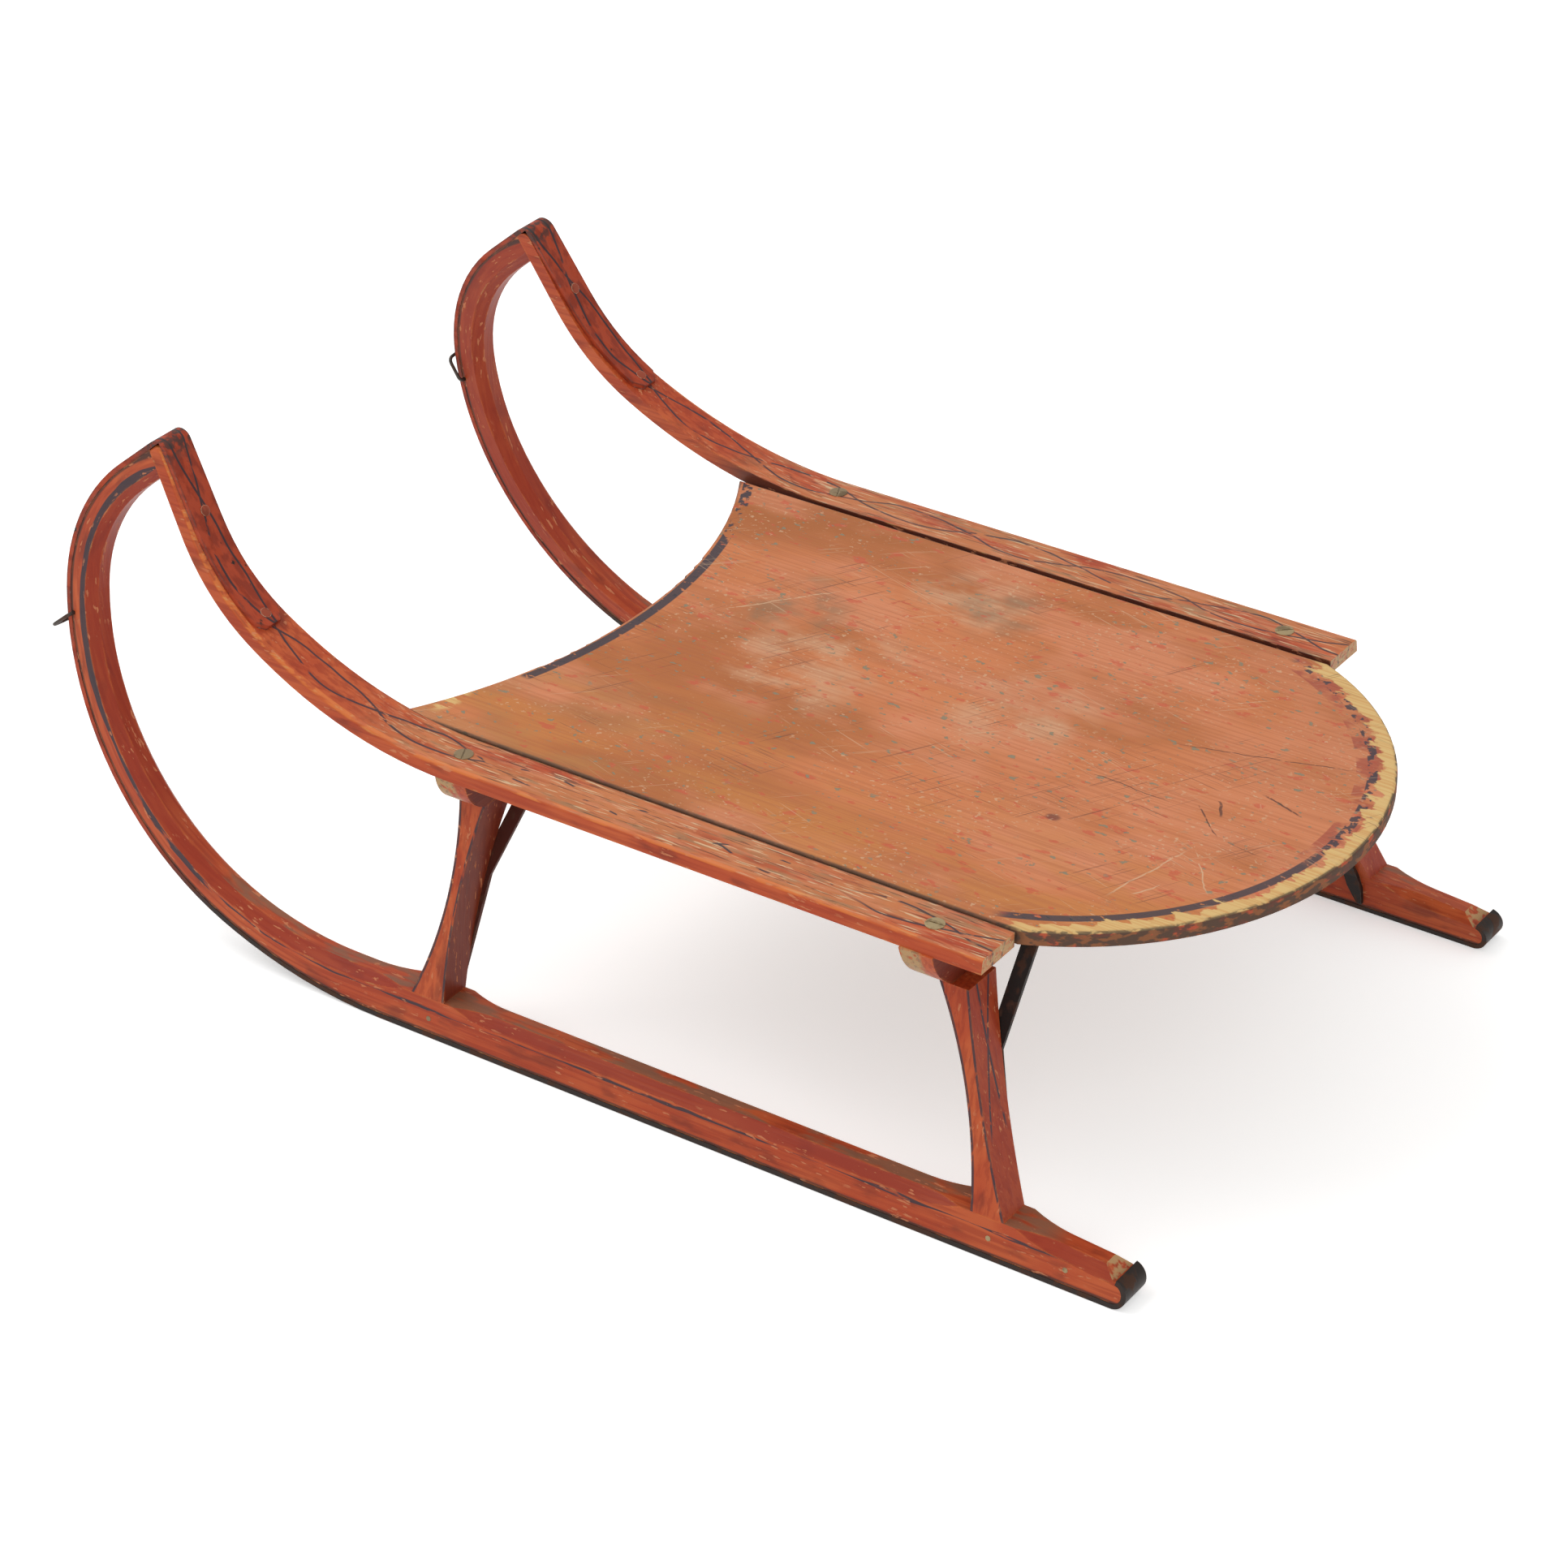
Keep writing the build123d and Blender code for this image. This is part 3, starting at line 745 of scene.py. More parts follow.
    def stroke(self, canvas: Canvas, wander: Socket, stroke: Stroke) -> Socket:
        """One stroke that wanders a little and thins out towards its ends.

        Args:
            canvas: finish that is drawn.
            wander: noise that the strokes wander with.
            stroke: where it starts and ends, and its width.

        Returns:
            A mask of the stroke.
        """
        run = Vector(stroke.end) - Vector(stroke.start)
        x, y = run.normalized()
        moved = canvas.add(Kind.SHIFT_BACK, [canvas.plan, (*stroke.start, 0)])
        along = canvas.add(Kind.DOT, [moved, (x, y, 0)], "Value")
        straight = canvas.add(Kind.DOT, [moved, (-y, x, 0)], "Value")
        drifting = canvas.add(Kind.MULTIPLY_ADD, [wander, self.stroke_drift, straight])
        aside = canvas.off(drifting, self.stroke_drift / 2)
        return canvas.overlap(canvas.ramp(aside, stroke.width * 0.7, stroke.width * 0.3),
                              canvas.window(along, (0, run.length * 0.2), (run.length, run.length * 0.8)))

    def hair_scratches(self, canvas: Canvas, level: float, runs: Sequence[Pair]) -> Socket:
        """Sparse hair scratches in several directions, in clusters.

        Args:
            canvas: finish that is drawn.
            level: noise value over which a scratch shows.
            runs: direction in degrees and seed of each set.

        Returns:
            A mask of all the scratches.
        """
        patch = partial(canvas.patches, canvas.point)
        return canvas.either(*(
            canvas.overlap(patch((0.9, 60, 20), level, level + 0.03, seed, 0, turn),
                           patch((60, 60, 60), 0.50, 0.60, seed + 0.5))
            for turn, seed in runs
        ))


@dataclass(frozen=True)
class FramePaint:
    """Red-orange oil paint on bent ash, with blue-black pinstripes, worn through on the arrises.

    The eye sees a soft gloss on brushed streaks, deeper red on the chamfers, yellow wood and orange
    priming along the edges that hands and boots rub, and cream chips and olive dirt on the rails.
    Faces that look back, the joints beside the deck and the seams along the iron straps carry painted
    shade.
    """

    ground: str = "#B44A26"
    light: str = "#C66134"
    # Deeper red; on the rear posts' back faces it is painted shade.
    deep: str = "#8C2815"
    # Dark maroon: darker patches, and painted shade on the faces that look back.
    shade: str = "#5E2218"
    orange: str = "#D27338"
    wood: str = "#C6A066"
    olive: str = "#8B7554"
    salmon: str = "#CB8059"
    tan: str = "#C78652"
    rub: str = "#80604A"
    # Dark grime; also painted shade in the joints and painted shadow along the iron straps.
    grime_and_shade: str = "#3A2822"
    line: str = "#322F37"
    end_grain: str = "#B89868"
    cream: str = "#D9BC94"
    edge_wear: float = 0.9
    post_edge_wear: float = 0.45
    post_lean: float = 0.2754
    post_foot: float = 250.7
    crossing_height: float = 128.0
    crossing_slope: float = 0.17
    bar_places: Pair = (-98.0, 269.0)
    post_edges: Mapping[Member, tuple[Arc, Arc]] = field(default_factory=lambda: {
        Member.FRONT_POST: (((-128.0, 29.5), (-106.9, 109.5), (-107.0, 172.5)),
                            ((-100.8, 29.5), (-98.5, 105.0), (-85.7, 172.5))),
        Member.REAR_POST: (((319.5, 29.5), (305.0, 98.0), (272.4, 168.0)),
                           ((344.5, 29.5), (315.0, 101.5), (294.3, 168.0))),
    })

    def build(self, member: Member) -> bpy.types.Material:
        """Draw the paint of one kind of member.

        Args:
            member: kind of member, for the run of its grain and its stripes.

        Returns:
            The finished material.
        """
        canvas = Canvas.named(f"worn_oil_paint_on_ash_{member.value}")
        patch = partial(canvas.patches, self.grain_place(canvas, member))
        streaks = patch((3, 90, 3), 0.42, 0.62, 1)
        chips = canvas.overlap(patch((2.4, 11, 2.4), 0.625, 0.65, 4, 4), patch((20, 50, 20), 0.44, 0.54, 14))
        wear = self.post_edge_wear if member in self.post_edges else self.edge_wear
        worn = canvas.overlap(canvas.worn_edges(2.0), patch((5, 16, 5), 0.44, 0.58, 5), wear)
        colour = canvas.layered(self.ground, [
            (self.light, 0.65, patch((22, 70, 22), 0.42, 0.62, 2)),
            (self.deep, 0.45, streaks),
            (self.shade, 0.45, patch((12, 34, 12), 0.54, 0.70, 3)),
            *self.member_layers(canvas, member, patch),
            (self.orange, 0.6, worn),
            (self.wood, 0.8, worn, patch((2, 14, 2), 0.58, 0.66, 6)),
            (self.salmon, 0.8, chips),
        ])
        bare = canvas.either(worn, chips)
        film = canvas.add(Kind.MULTIPLY_ADD, [bare, -0.5, 0.7])
        height = canvas.add(Kind.MULTIPLY_ADD, [streaks, 0.25, film])
        return canvas.finished(colour, canvas.blend(bare, 0.42, 0.72), height, 0.22)

    def grain_place(self, canvas: Canvas, member: Member) -> Socket:
        """Find places along the grain.

        Args:
            canvas: finish that is drawn.
            member: kind of member.

        Returns:
            Place on the member, with its length as the second axis.
        """
        axes = [canvas.x, canvas.z, canvas.y]
        if member is Member.RAIL:
            axes = [canvas.x, SIDE_LINES.along_rail(canvas), canvas.z]
        elif member is Member.RUNNER:
            axes = [canvas.x, SIDE_LINES.along_runner(canvas), SIDE_LINES.runner_depths(canvas)[0]]
        elif member is Member.CROSSBAR:
            axes = [canvas.y, canvas.x, canvas.z]
        return canvas.add(Kind.JOIN, axes)

    def member_layers(self, canvas: Canvas, member: Member, patch: Drawing) -> list[Layer]:
        """Stripes and wear that only one kind of member has.

        Args:
            canvas: finish that is drawn.
            member: kind of member.
            patch: draws patches along the grain.

        Returns:
            The layers, from the ground up.
        """
        if member is Member.RAIL:
            return self.rail_layers(canvas, patch)
        if member is Member.RUNNER:
            return self.runner_layers(canvas, patch)
        if member is Member.CROSSBAR:
            return self.crossbar_layers(canvas, patch)
        return self.post_layers(canvas, member, patch)

    def rail_layers(self, canvas: Canvas, patch: Drawing) -> list[Layer]:
        """Braided pinstripes, chips and dirt on top, a rubbed outer edge, and painted shade along the strap's
        edge and the joint with the deck.

        Args:
            canvas: finish that is drawn.
            patch: draws patches along the grain.

        Returns:
            The layers, from the ground up.
        """
        upper = canvas.overlap(canvas.ramp(canvas.upward, 0.5, 0.8), canvas.ramp(canvas.y, -200, -110))
        rounded = canvas.overlap(canvas.window(canvas.outward, (0.10, 0.30), (0.97, 0.85)),
                                 canvas.ramp(canvas.upward, 0.15, 0.4))
        rubbed = canvas.overlap(rounded, patch((6, 30, 6), 0.44, 0.54, 11))
        rear = canvas.ramp(canvas.y, 190, 235)
        front = canvas.ramp(canvas.y, -80, -110)
        right = canvas.overlap(canvas.ramp(canvas.x, 50, -50), 0.9)
        kept = canvas.blend(canvas.either(rear, front, right), patch((9, 20, 9), 0.54, 0.60, 12),
                            patch((9, 22, 9), 0.36, 0.44, 15))
        rear_end = canvas.overlap(canvas.ramp(canvas.ny, 0.6, 0.9), canvas.ramp(canvas.y, 312, 315))
        # Painted shadow in a thin seam where the strap's edge meets the rail.
        strap_edge_shadow = canvas.ramp(canvas.beyond(canvas.flat, SIDE_LINES.rail_crook), 1.8, 0.7)
        strapped = canvas.overlap(canvas.ramp(canvas.y, -250, -262), canvas.ramp(canvas.outward, 0.5, 0.8))
        # Painted shade along the rail's inner edge, in the joint with the deck.
        deck_joint_shade = canvas.ramp(SIDE_LINES.across(canvas), -17.4, -18.8)
        return [
            (self.tan, 0.6, upper, patch((14, 80, 14), 0.34, 0.56, 24)),
            (self.salmon, 0.6, upper, patch((4, 38, 4), 0.48, 0.62, 16, 5)),
            (self.olive, 0.5, upper, patch((5, 34, 5), 0.55, 0.66, 17, 5)),
            (self.grime_and_shade, 0.65, upper, patch((1.4, 34, 2), 0.60, 0.65, 19)),
            (self.cream, 0.75, upper, patch((1.5, 26, 2), 0.60, 0.65, 20)),
            (self.line, 0.9, SIDE_LINES.braid(canvas, 9.0, 1.7), kept),
            # Painted shadow along the strap's edge.
            (self.grime_and_shade, 0.85, strap_edge_shadow, strapped),
            (self.light, 0.45, rounded),
            (self.orange, 0.85, rubbed),
            (self.wood, 0.4, rubbed, patch((2, 40, 2), 0.55, 0.64, 13)),
            (self.end_grain, 0.8, rear_end, patch((4, 9, 2.5), 0.40, 0.56, 18)),
            # Painted shade in the joint with the deck.
            (self.grime_and_shade, 0.8, deck_joint_shade, canvas.ramp(canvas.y, -215, -160)),
        ]

    def runner_layers(self, canvas: Canvas, patch: Drawing) -> list[Layer]:
        """One brushed stripe along the outer arris, deep red chamfers, rubbed upper face and heel, and a
        painted shadow line just above the iron shoe.

        Args:
            canvas: finish that is drawn.
            patch: draws patches along the grain.

        Returns:
            The layers, from the ground up.
        """
        depth, over = SIDE_LINES.runner_depths(canvas)
        length = canvas.add(Kind.JOIN, [canvas.x, SIDE_LINES.along_runner(canvas), 0])
        drift = canvas.noise(length, (40, 40, 40), 3, 2)
        swell = canvas.noise(length, (70, 70, 70), 5, 1)
        off = canvas.off(depth, canvas.add(Kind.MULTIPLY_ADD, [drift, 3.6, 7]))
        low_width = canvas.add(Kind.RANGE, [swell, 0.35, 0.68, 0.2, 2.2])
        bow_width = canvas.add(Kind.RANGE, [canvas.z, 40, 220, 0, 2])
        inside = canvas.add(Kind.SUBTRACT, [canvas.add(Kind.ADD, [low_width, bow_width]), off])
        stripe = canvas.overlap(canvas.ramp(inside, -0.25, 0.25), canvas.ramp(canvas.outward, 0.80, 0.92))
        kept = canvas.blend(canvas.ramp(canvas.z, 60, 130), patch((4, 26, 4), 0.36, 0.46, 21),
                            patch((4, 26, 4), 0.24, 0.32, 21))
        inner_bow = canvas.overlap(canvas.ramp(canvas.outward, 0.70, 0.50), canvas.ramp(canvas.z, 40, 110))
        chamfer = canvas.window(canvas.outward, (0.25, 0.45), (0.90, 0.75))
        top = canvas.overlap(canvas.window(canvas.outward, (-0.30, -0.15), (0.30, 0.15)),
                             canvas.ramp(depth, 3, 1), canvas.ramp(canvas.z, 70, 45))
        heel = canvas.overlap(canvas.ramp(canvas.y, 408, 416), canvas.ramp(canvas.ny, 0.25, 0.5))
        return [
            (self.deep, 0.6, inner_bow),
            (self.deep, 0.65, chamfer),
            (self.rub, 0.75, top, patch((12, 46, 12), 0.42, 0.56, 22)),
            (self.end_grain, 0.8, heel, patch((5, 6, 5), 0.40, 0.54, 23)),
            (self.line, 0.93, stripe, kept),
            # Painted shadow in a thin line just above the iron shoe.
            (self.grime_and_shade, 0.9, canvas.ramp(over, 2.6, 1)),
        ]

    def post_layers(self, canvas: Canvas, member: Member, patch: Drawing) -> list[Layer]:
        """Black lines along the outer face, painted shade on the back faces, and crossing lines on the rear
        posts.

        Args:
            canvas: finish that is drawn.
            member: front or rear post.
            patch: draws patches along the grain.

        Returns:
            The layers, from the ground up.
        """
        # Faces that look back are darkened as painted shade.
        back = canvas.ramp(canvas.ny, 0.5, 0.75)
        insets = [
            canvas.add(Kind.ABSOLUTE, [canvas.beyond(canvas.flat, circle_through(*points))])
            for points in self.post_edges[member]
        ]
        by_edge = canvas.ramp(canvas.add(Kind.MINIMUM, insets), 2.1, 1.5)
        outer = canvas.ramp(canvas.outward, 0.55, 0.8)
        edge = (self.line, 0.9, by_edge, outer, patch((5, 26, 5), 0.36, 0.46, 32))
        if member is Member.FRONT_POST:
            # Front posts: maroon painted shade on the back faces.
            return [(self.shade, 0.75, back), edge]
        upright = canvas.add(Kind.MULTIPLY_ADD, [canvas.z, self.post_lean, canvas.aside])
        spread = canvas.overlap(canvas.off(canvas.z, self.crossing_height), self.crossing_slope)
        line = canvas.ramp(canvas.off(canvas.off(upright, self.post_foot), spread), 1.2, 0.7)
        line_start = canvas.ramp(canvas.z, 72, 84)
        return [
            # Rear posts: deeper red painted shade on the back faces.
            (self.deep, 0.55, back),
            (self.line, 0.92, line, back, line_start, patch((6, 18, 6), 0.34, 0.42, 31)),
            edge,
        ]

    def crossbar_layers(self, canvas: Canvas, patch: Drawing) -> list[Layer]:
        """Bare end grain on the front half of the rounded ends, and painted shade on the faces that look
        back.

        Args:
            canvas: finish that is drawn.
            patch: draws patches along the grain.

        Returns:
            The layers, from the ground up.
        """
        front_half, rear_half = (canvas.ramp(canvas.y, y + 5, y + 1) for y in self.bar_places)
        rear_bar = canvas.overlap(rear_half, canvas.ramp(canvas.y, 200, 220))
        rubbed = canvas.overlap(canvas.ramp(canvas.aside, 214, 222), canvas.either(front_half, rear_bar),
                                patch((6, 9, 6), 0.34, 0.48, 41))
        return [
            # Painted shade on the faces that look back.
            (self.shade, 0.8, canvas.ramp(canvas.ny, 0.5, 0.8)),
            (self.end_grain, 0.9, rubbed),
            (self.rub, 0.7, rubbed, patch((3, 4, 3), 0.54, 0.62, 42)),
        ]


@dataclass(frozen=True)
class StrapIron:
    """Forged strap iron, painted with the frame and worn back to dark metal.

    The eye sees red paint with pinstripes where the strap lies on the rail, dark rubbed edges, and
    brown-grey iron with rust along the floor.
    """

    iron: str = "#37302D"
    rust: str = "#573A2B"
    bright: str = "#6A625C"
    red: str = "#AA4224"
    deep: str = "#7A2817"
    line: str = "#2E2B31"

    def build(self) -> bpy.types.Material:
        """Draw the iron of the shoes.

        Returns:
            The finished material.
        """
        canvas = Canvas.named("painted_strap_iron")
        patch = partial(canvas.patches, canvas.point)
        along = canvas.add(Kind.JOIN, [canvas.x, SIDE_LINES.along_runner(canvas), canvas.z])
        flank = canvas.add(Kind.ABSOLUTE, [canvas.nx])
        painted = canvas.either(
            canvas.overlap(canvas.ramp(canvas.upward, 0.1, 0.4), canvas.ramp(canvas.z, 200, 212)),
            canvas.overlap(canvas.ramp(flank, 0.5, 0.8), canvas.ramp(canvas.z, 30, 90)),
            canvas.overlap(canvas.patches(along, (5, 55, 60), 0.30, 0.52, 2, 5), 0.9,
                           canvas.ramp(canvas.z, 35, 130)),
        )
        film = canvas.overlap(painted, patch((6, 9, 9), 0.26, 0.34, 3))
        line = canvas.overlap(SIDE_LINES.braid(canvas, 8.0, 1.9), patch((8, 20, 20), 0.34, 0.42, 6))
        fold = canvas.overlap(canvas.ramp(canvas.z, 350, 361), patch((5, 6, 5), 0.44, 0.56, 5))
        arris = canvas.overlap(canvas.worn_edges(2.0), canvas.ramp(canvas.z, 160, 230),
                               patch((6, 14, 14), 0.40, 0.54, 4))
        rust = patch((8, 16, 12), 0.48, 0.62, 7)
        colour = canvas.layered(self.iron, [
            (self.rust, 0.7, rust),
            (self.red, 1, film),
            (self.deep, 0.65, film, canvas.patches(along, (6, 40, 10), 0.42, 0.60, 8)),
            (self.line, 0.92, line, film),
            (self.iron, 0.8, fold),
            (self.iron, 0.85, arris),
            (self.bright, 1, arris, patch((2, 4, 4), 0.60, 0.66, 9)),
        ])
        metallic = canvas.overlap(canvas.add(Kind.SUBTRACT, [1, film]), 0.6)
        height = canvas.add(Kind.MULTIPLY_ADD, [film, 0.6, rust])
        return canvas.finished(colour, canvas.blend(rust, 0.46, 0.68), height, 0.12, metallic)


@dataclass(frozen=True)
class BlackIron:
    """Forged flat iron or drawn wire, blackened and brown with age.

    The eye sees a dull dark metal with a little rust in soft patches and brighter rubbed edges.
    """

    name: str
    front: str
    rear: str
    rust: str = "#5A3B2C"
    bright: str = "#6F675F"
    metallic: float = 0.7
    roughness: float = 0.5
    rubbed: float = 0.6
    rub_start: float = 0.48

    def build(self) -> bpy.types.Material:
        """Draw the iron, from its front colour to its rear colour along the sled.

        Returns:
            The finished material.
        """
        canvas = Canvas.named(self.name)
        patch = partial(canvas.patches, canvas.point)
        rust = patch((7, 9, 12), 0.50, 0.64, 2)
        ragged = patch((3, 5, 5), self.rub_start, self.rub_start + 0.12, 3)
        colour = canvas.layered(self.front, [
            (self.rear, 1, canvas.ramp(canvas.y, 60, 110)),
            (self.rust, 0.6, rust),
            (self.bright, self.rubbed, canvas.worn_edges(0.8), ragged),
        ])
        roughness = canvas.blend(rust, self.roughness, self.roughness + 0.2)
        return canvas.finished(colour, roughness, rust, 0.08, self.metallic)


BRACE_IRON = BlackIron("forged_flat_iron", "#552A21", "#2A2422", metallic=0.35)
WIRE_IRON = BlackIron("drawn_iron_wire", "#4B4541", "#4B4541", roughness=0.42, metallic=0.8)
HEAD_IRON = BlackIron("rubbed_screw_iron", "#8E7A5C", "#A8946E", "#5F4A36", "#C9B593", metallic=0.3)
RIVET_IRON = BlackIron("painted_rivet_iron", "#9A4730", "#9A4730", "#6B3526", "#D2BC9E", metallic=0.1,
                       rubbed=0.9, rub_start=0.36)


def deselect_all() -> None:
    """Leave object mode with nothing selected."""
    if bpy.context.object and bpy.context.object.mode != "OBJECT":
        bpy.ops.object.mode_set(mode="OBJECT")
    bpy.ops.object.select_all(action="DESELECT")


def dress(names: Sequence[str], frame: Mapping[str, Any], material: bpy.types.Material) -> None:
    """Give CAD nodes a finish.

    Args:
        names: names of the nodes.
        material: the finish.
    """
    for name in names:
        for slot in frame["nodes"][name].material_slots:
            slot.material = material
        LOG.info("dressed %s with %s", name, material.name)


@dataclass
class Head:
    """Head of a screw, rivet or nail: where it sits and which way it looks."""

    name: str
    place: Vector
    turn: Matrix


@dataclass
class Fastening:
    """One kind of fastening, modelled once at the origin and copied to its places."""

    kind: str
    radius: float
    proud: float
    crown: float
    slot_width: float = 0.0
    slot_floor: float = 0.1
    sunk: float = 1.0
    rim: float = 0.25
    crown_steps: Pair = (0.30, 0.35)

    def model(self) -> bpy.types.Object:
        """Model the head once, with its rounded rim, crown and slot.

        Returns:
            The head at the origin, looking up, with its underside sunk below 0.
        """
        deselect_all()
        depth = self.proud + self.sunk
        bpy.ops.mesh.primitive_cylinder_add(
            vertices=40, radius=self.radius * MM, depth=depth * MM,
            location=(0.0, 0.0, (self.proud - depth / 2) * MM),
        )
        head = bpy.context.object
        bpy.ops.object.transform_apply(location=True, rotation=True, scale=True)
        bpy.ops.object.mode_set(mode="EDIT")
        bpy.ops.mesh.select_all(action="DESELECT")
        bpy.ops.object.mode_set(mode="OBJECT")
        for face in head.data.polygons:
            face.select = face.normal.z > 0.9
        bpy.ops.object.mode_set(mode="EDIT")
        for step in self.crown_steps:
            bpy.ops.mesh.inset(thickness=self.radius * step * MM)
            bpy.ops.transform.translate(value=(0.0, 0.0, self.crown * step * MM))
        bpy.ops.object.mode_set(mode="OBJECT")
        if self.slot_width:
            self.cut_slot(head)
        rim = head.modifiers.new("rim", "BEVEL")
        rim.width = self.rim * MM
        rim.segments = 2
        rim.limit_method = "ANGLE"
        rim.angle_limit = math.radians(40)
        bpy.ops.object.modifier_apply(modifier=rim.name)
        bpy.ops.object.shade_smooth_by_angle(angle=math.radians(35))
        return head

    def cut_slot(self, head: bpy.types.Object) -> None:
        """Cut the screwdriver slot across the head.

        Args:
            head: the modelled head.
        """
        deselect_all()
        top = self.proud + self.crown
        bpy.ops.mesh.primitive_cube_add(size=1.0, location=(0.0, 0.0, top * MM))
        blade = bpy.context.object
        sizes = (2.6 * self.radius, self.slot_width, 2 * (top - self.slot_floor))
        bpy.ops.transform.resize(value=tuple(size * MM for size in sizes))
        bpy.ops.object.transform_apply(location=True, rotation=True, scale=True)
        deselect_all()
        bpy.context.view_layer.objects.active = head
        head.select_set(True)
        cut = head.modifiers.new("slot", "BOOLEAN")
        cut.operation = "DIFFERENCE"
        cut.object = blade
        cut.solver = "EXACT"
        bpy.ops.object.modifier_apply(modifier=cut.name)
        bpy.data.objects.remove(blade)

    def place_all(self, heads: Sequence[Head], material: bpy.types.Material) -> None:
        """Copy the modelled head to each of its places on the frame.

        Args:
            heads: places and directions.
            material: finish of the heads.
        """
        pattern = self.model()
        for spot in heads:
            piece = pattern.copy()
            piece.data = pattern.data.copy()
            piece.name = spot.name
            piece.data.transform(Matrix.Translation(spot.place * MM) @ spot.turn)
            piece.data.materials.clear()
            piece.data.materials.append(material)
            bpy.context.collection.objects.link(piece)
            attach(piece, "frame")
            LOG.info("placed %s %s", self.kind, piece.name)
        bpy.data.objects.remove(pattern)


@dataclass
class Deck:
    """Pine deck board."""

    def dress(self, frame: Mapping[str, Any]) -> None:
        """Paint the board."""
        dress(["deck"], frame, DeckPaint().build())


@dataclass
class SideFrames:
    """Rails, runners, posts and crossbars of both sides."""

    members: Mapping[Member, tuple[str, str]] = field(default_factory=lambda: {
        Member.RAIL: ("rail_left", "rail_right"),
        Member.RUNNER: ("runner_left", "runner_right"),
        Member.FRONT_POST: ("post_front_left", "post_front_right"),
        Member.REAR_POST: ("post_rear_left", "post_rear_right"),
        Member.CROSSBAR: ("crossbar_front", "crossbar_rear"),
    })

    def dress(self, frame: Mapping[str, Any]) -> None:
        """Paint and stripe each kind of member."""
        for member, names in self.members.items():
            dress(names, frame, FramePaint().build(member))


@dataclass
class Ironwork:
    """Shoes, braces and tow loops."""

    def dress(self, frame: Mapping[str, Any]) -> None:
        """Finish the iron, each kind by the start of its names."""
        for start, material in (
            ("shoe_", StrapIron().build()),
            ("brace_", BRACE_IRON.build()),
            ("tow_loop_", WIRE_IRON.build()),
        ):
            dress([name for name in frame["nodes"] if name.startswith(start)], frame, material)


@dataclass
class Fastenings:
    """Screws in the rails, rivets in the straps and nails in the runners."""

    screw_x: float = 222.5
    screw_y: Pair = (-99.0, 270.0)
    slot_turn: float = 25.0
    slot_turn_step: float = 70.0
    rivet_turns: Pair = (32.5, 63.0)
    outer_nails: tuple[Pair, ...] = ((-113.0, 14.0), (334.0, 15.0), (391.0, 14.0))

    def build(self) -> None:
        """Model each fastening once and copy it to its places."""
        material = HEAD_IRON.build()
        Fastening("screw", 6.6, 0.6, 0.5, 1.3).place_all(self.screws(), material)
        Fastening("rivet", 4.0, 0.35, 0.45).place_all(self.rivets(), RIVET_IRON.build())
        Fastening("nail", 1.9, 0.25, 0.2).place_all(self.nails(), material)

    def screws(self) -> list[Head]:
        """Screws through the rails into the crossbars, with their slots at odd angles.

        Returns:
            The heads of both sides.
        """
        heads = []
        for side in Side:
            for number, y in enumerate(self.screw_y):
                place = Vector((side.value * self.screw_x, y, SIDE_LINES.rail_top))
                degrees = self.slot_turn + self.slot_turn_step * number * side.value
                turn = Matrix.Rotation(math.radians(degrees), 4, "Z")
                heads.append(Head(f"rail_screw_{side.name.lower()}_{number + 1}", place, turn))
        return heads

    def rivets(self) -> list[Head]:
        """Rivets through the strap where it lies on the bent rail.

        Returns:
            The heads of both sides.
        """
        heads = []
        y, z, crook = SIDE_LINES.rail_crook
        radius = crook - SIDE_LINES.strap
        for side in Side:
            for number, degrees in enumerate(self.rivet_turns):
                angle = math.radians(degrees)
                height = z - radius * math.cos(angle)
                place = Vector((side.value * SIDE_LINES.middle(height), y - radius * math.sin(angle), height))
                turn = Matrix.Rotation(-angle, 4, "X")
                heads.append(Head(f"strap_rivet_{side.name.lower()}_{number + 1}", place, turn))
        return heads

    def nails(self) -> list[Head]:
        """Nails in the outer faces of the runners.

        Returns:
            The heads of both sides.
        """
        heads = []
        _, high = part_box("runner_left")
        half = high.x / MM - SIDE_LINES.middle(SIDE_LINES.strap)
        for side in Side:
            turn = Matrix.Rotation(side.value * (math.pi / 2 - math.atan(SIDE_LINES.lean)), 4, "Y")
            for number, (y, z) in enumerate(self.outer_nails):
                place = Vector((side.value * (SIDE_LINES.middle(z) + half), y, z))
                heads.append(Head(f"runner_nail_{side.name.lower()}_{number + 1}", place, turn))
        return heads


@dataclass(frozen=True)
class Lamp:
    """Large square lamp: its place and width in metres, and its power in watts."""

    name: str
    place: Triple
    width: float
    power: float


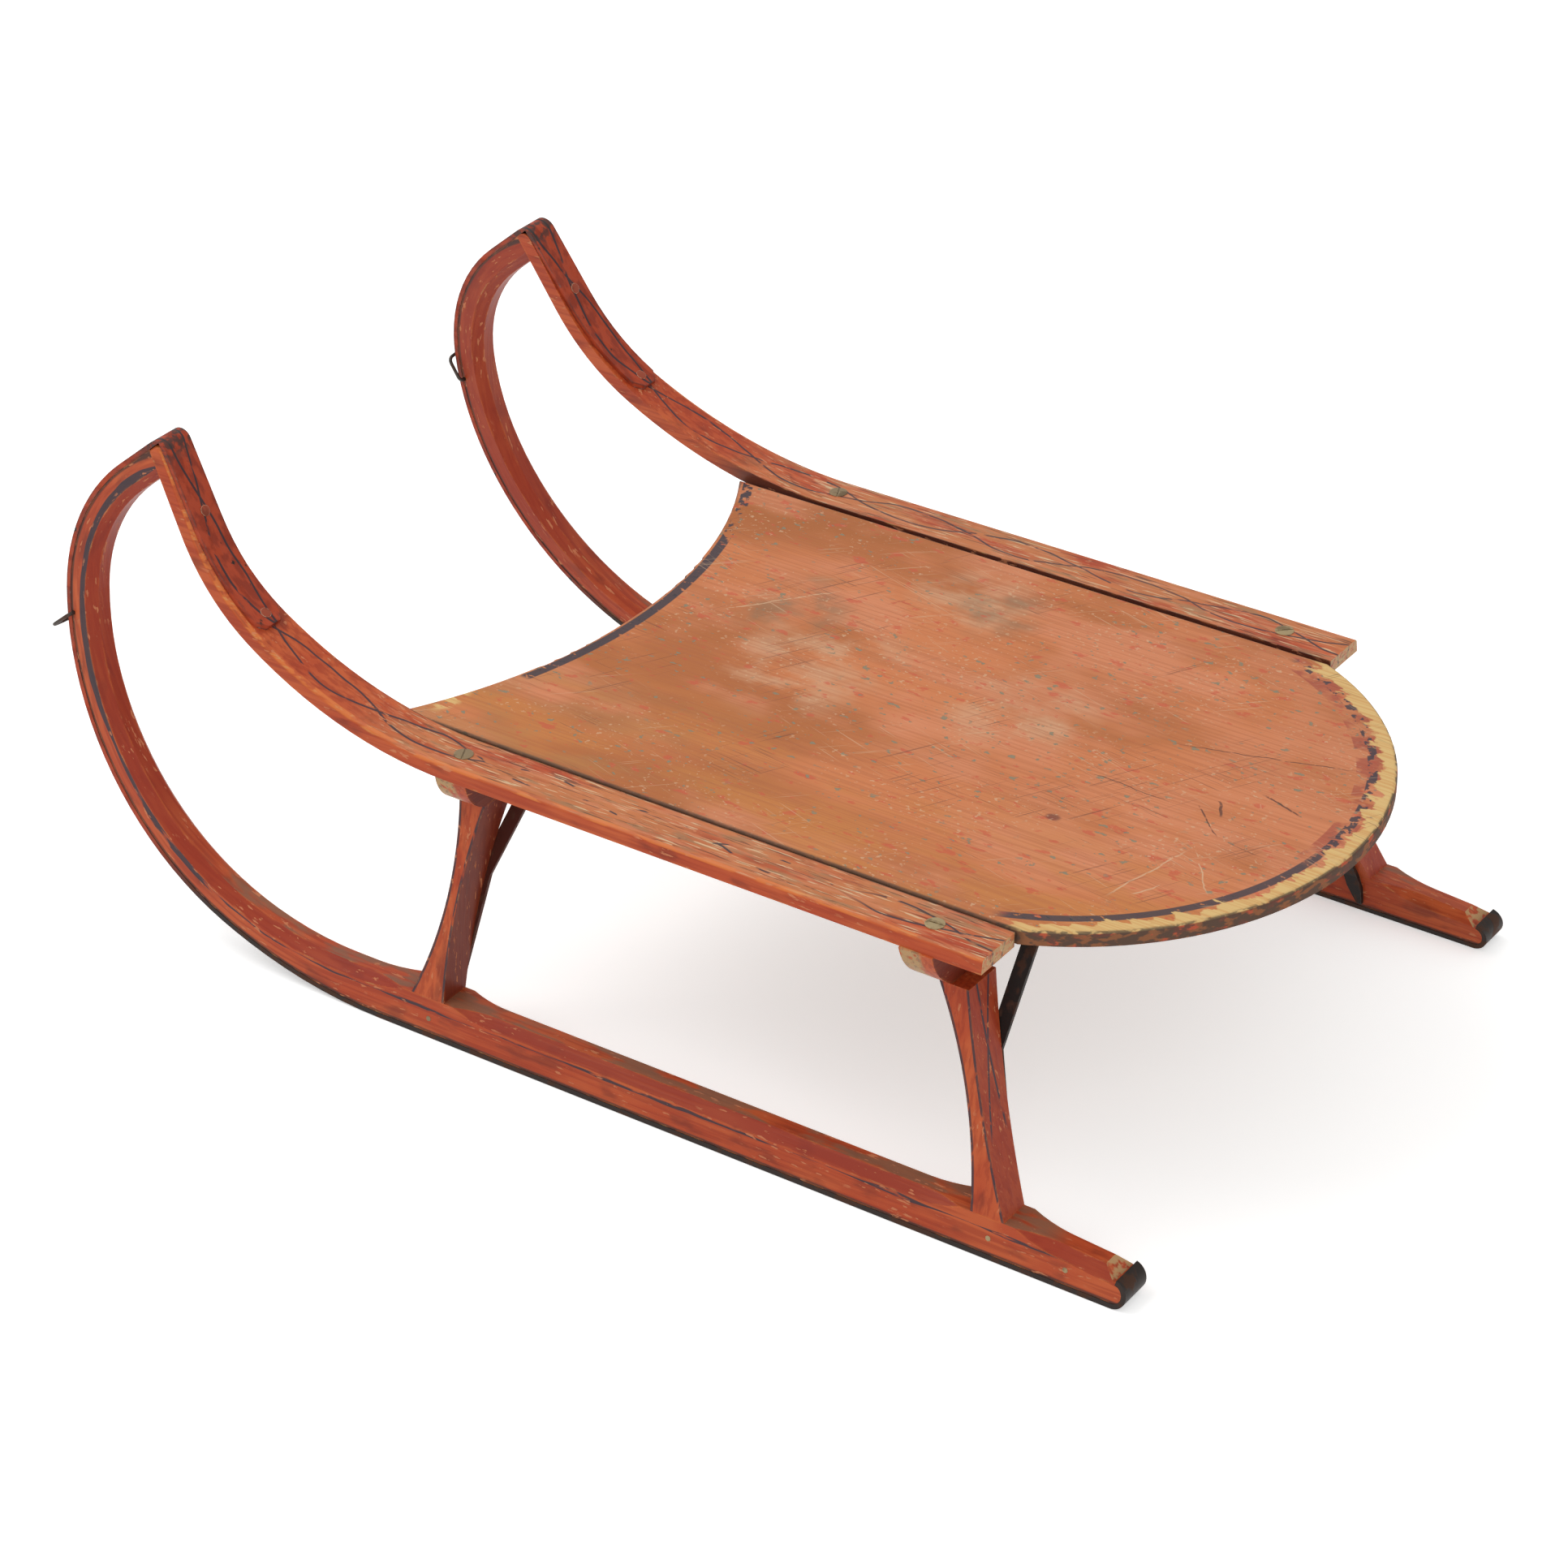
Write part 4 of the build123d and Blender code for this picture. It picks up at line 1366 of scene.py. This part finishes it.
@dataclass
class Studio:
    """Pale floor, soft light and the camera."""

    camera_place: Triple = (2.288, 1.576, 1.796)
    azimuth: float = 124.42
    elevation: float = 31.29
    roll: float = -0.37
    lens: float = 107.59
    sensor: float = 36.0
    axis_pixel: Pair = (972.0, 967.0)
    picture: float = 1932.0
    floor_size: float = 14.0
    floor_drop: float = 0.0004
    floor_glow: float = 0.42
    white: str = "#FFFFFF"
    paper_white: str = "#F3F3F2"
    room_light: float = 0.68
    lamp_target: Triple = (0.0, 0.0, 0.15)
    lamps: tuple[Lamp, ...] = (
        Lamp("key_lamp", (0.6, -1.9, 2.9), 2.6, 46.0),
        Lamp("fill_lamp", (1.9, 2.2, 2.2), 2.6, 18.0),
    )

    def build(self) -> None:
        """Make the floor, the light and the camera."""
        self.lay_floor()
        self.hang_lamps()
        self.light_world()
        self.stand_camera()

    def lay_floor(self) -> None:
        """Lay a white paper floor that keeps the sled's shadow."""
        deselect_all()
        bpy.ops.mesh.primitive_plane_add(size=self.floor_size, location=(0.0, 0.0, -self.floor_drop))
        floor = bpy.context.object
        floor.name = "studio_floor"
        bpy.ops.object.transform_apply(location=True, rotation=True, scale=True)
        bpy.ops.object.mode_set(mode="EDIT")
        bpy.ops.mesh.subdivide(number_cuts=3)
        bpy.ops.object.mode_set(mode="OBJECT")
        floor.data.materials.append(self.paper())

    def paper(self) -> bpy.types.Material:
        """White background paper: matt, with a little glow for rays that see it as background.

        Returns:
            The finished material.
        """
        material = bpy.data.materials.new("white_background_paper")
        material.use_nodes = True
        nodes = material.node_tree.nodes
        nodes.remove(nodes["Principled BSDF"])
        add = partial(add_node, material.node_tree)
        rays = ("Is Camera Ray", "Is Glossy Ray", "Is Transmission Ray")
        seen = reduce(lambda one, other: add(Kind.MAXIMUM, [one, other]),
                      [add(Kind.LIGHT_PATH, output=ray) for ray in rays])
        glow = add(Kind.MULTIPLY, [seen, self.floor_glow])
        light = add(Kind.EMISSION, {"Color": linear(self.white), "Strength": glow})
        matt = add(Kind.DIFFUSE, {"Color": linear(self.paper_white)})
        fill(nodes["Material Output"], {"Surface": add(Kind.ADD_SHADER, [light, matt])})
        return material

    def hang_lamps(self) -> None:
        """Hang a large soft lamp over the sled's front and a weaker one over its left rear."""
        for lamp in self.lamps:
            data = bpy.data.lights.new(lamp.name, "AREA")
            data.size = lamp.width
            data.energy = lamp.power
            hung = bpy.data.objects.new(lamp.name, data)
            aim = Vector(self.lamp_target) - Vector(lamp.place)
            turn = aim.to_track_quat("-Z", "Y").to_matrix().to_4x4()
            hung.matrix_world = Matrix.Translation(lamp.place) @ turn
            bpy.context.collection.objects.link(hung)

    def light_world(self) -> None:
        """Even white light from all round, and plain white where the camera sees past the floor."""
        world = bpy.data.worlds.new("studio_light")
        world.use_nodes = True
        add = partial(add_node, world.node_tree)
        seen = add(Kind.LIGHT_PATH, output="Is Camera Ray")
        strength = add(Kind.RANGE, [seen, 0, 1, self.room_light, 1])
        fill(world.node_tree.nodes["Background"], {"Color": linear(self.white), "Strength": strength})
        bpy.context.scene.world = world

    def stand_camera(self) -> None:
        """Stand the camera where the photograph was taken from."""
        turn, rise, roll = (math.radians(v) for v in (self.azimuth, self.elevation, self.roll))
        right = Vector((math.cos(turn), math.sin(turn), 0.0))
        back = Vector((math.sin(turn) * math.cos(rise), -math.cos(turn) * math.cos(rise), math.sin(rise)))
        up = back.cross(right)
        level = Matrix((right, up, back)).transposed()
        rolled = level @ Matrix.Rotation(roll, 3, "Z")
        data = bpy.data.cameras.new("photo_camera")
        data.sensor_fit = "HORIZONTAL"
        data.sensor_width = self.sensor
        data.lens = self.lens
        middle = self.picture / 2
        data.shift_x = (middle - self.axis_pixel[0]) / self.picture
        data.shift_y = (self.axis_pixel[1] - middle) / self.picture
        camera = bpy.data.objects.new("photo_camera", data)
        camera.matrix_world = Matrix.Translation(self.camera_place) @ rolled.to_4x4()
        bpy.context.collection.objects.link(camera)
        bpy.context.scene.camera = camera


def main() -> None:
    """Load the frame, dress it, add the fastenings and set up the studio."""
    logging.basicConfig(level=logging.INFO, format="%(name)s: %(message)s")
    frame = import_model()
    bpy.context.scene.view_settings.view_transform = "Standard"
    Deck().dress(frame)
    SideFrames().dress(frame)
    Ironwork().dress(frame)
    Fastenings().build()
    Studio().build()
    bpy.context.view_layer.update()


if __name__ == "__main__":
    main()
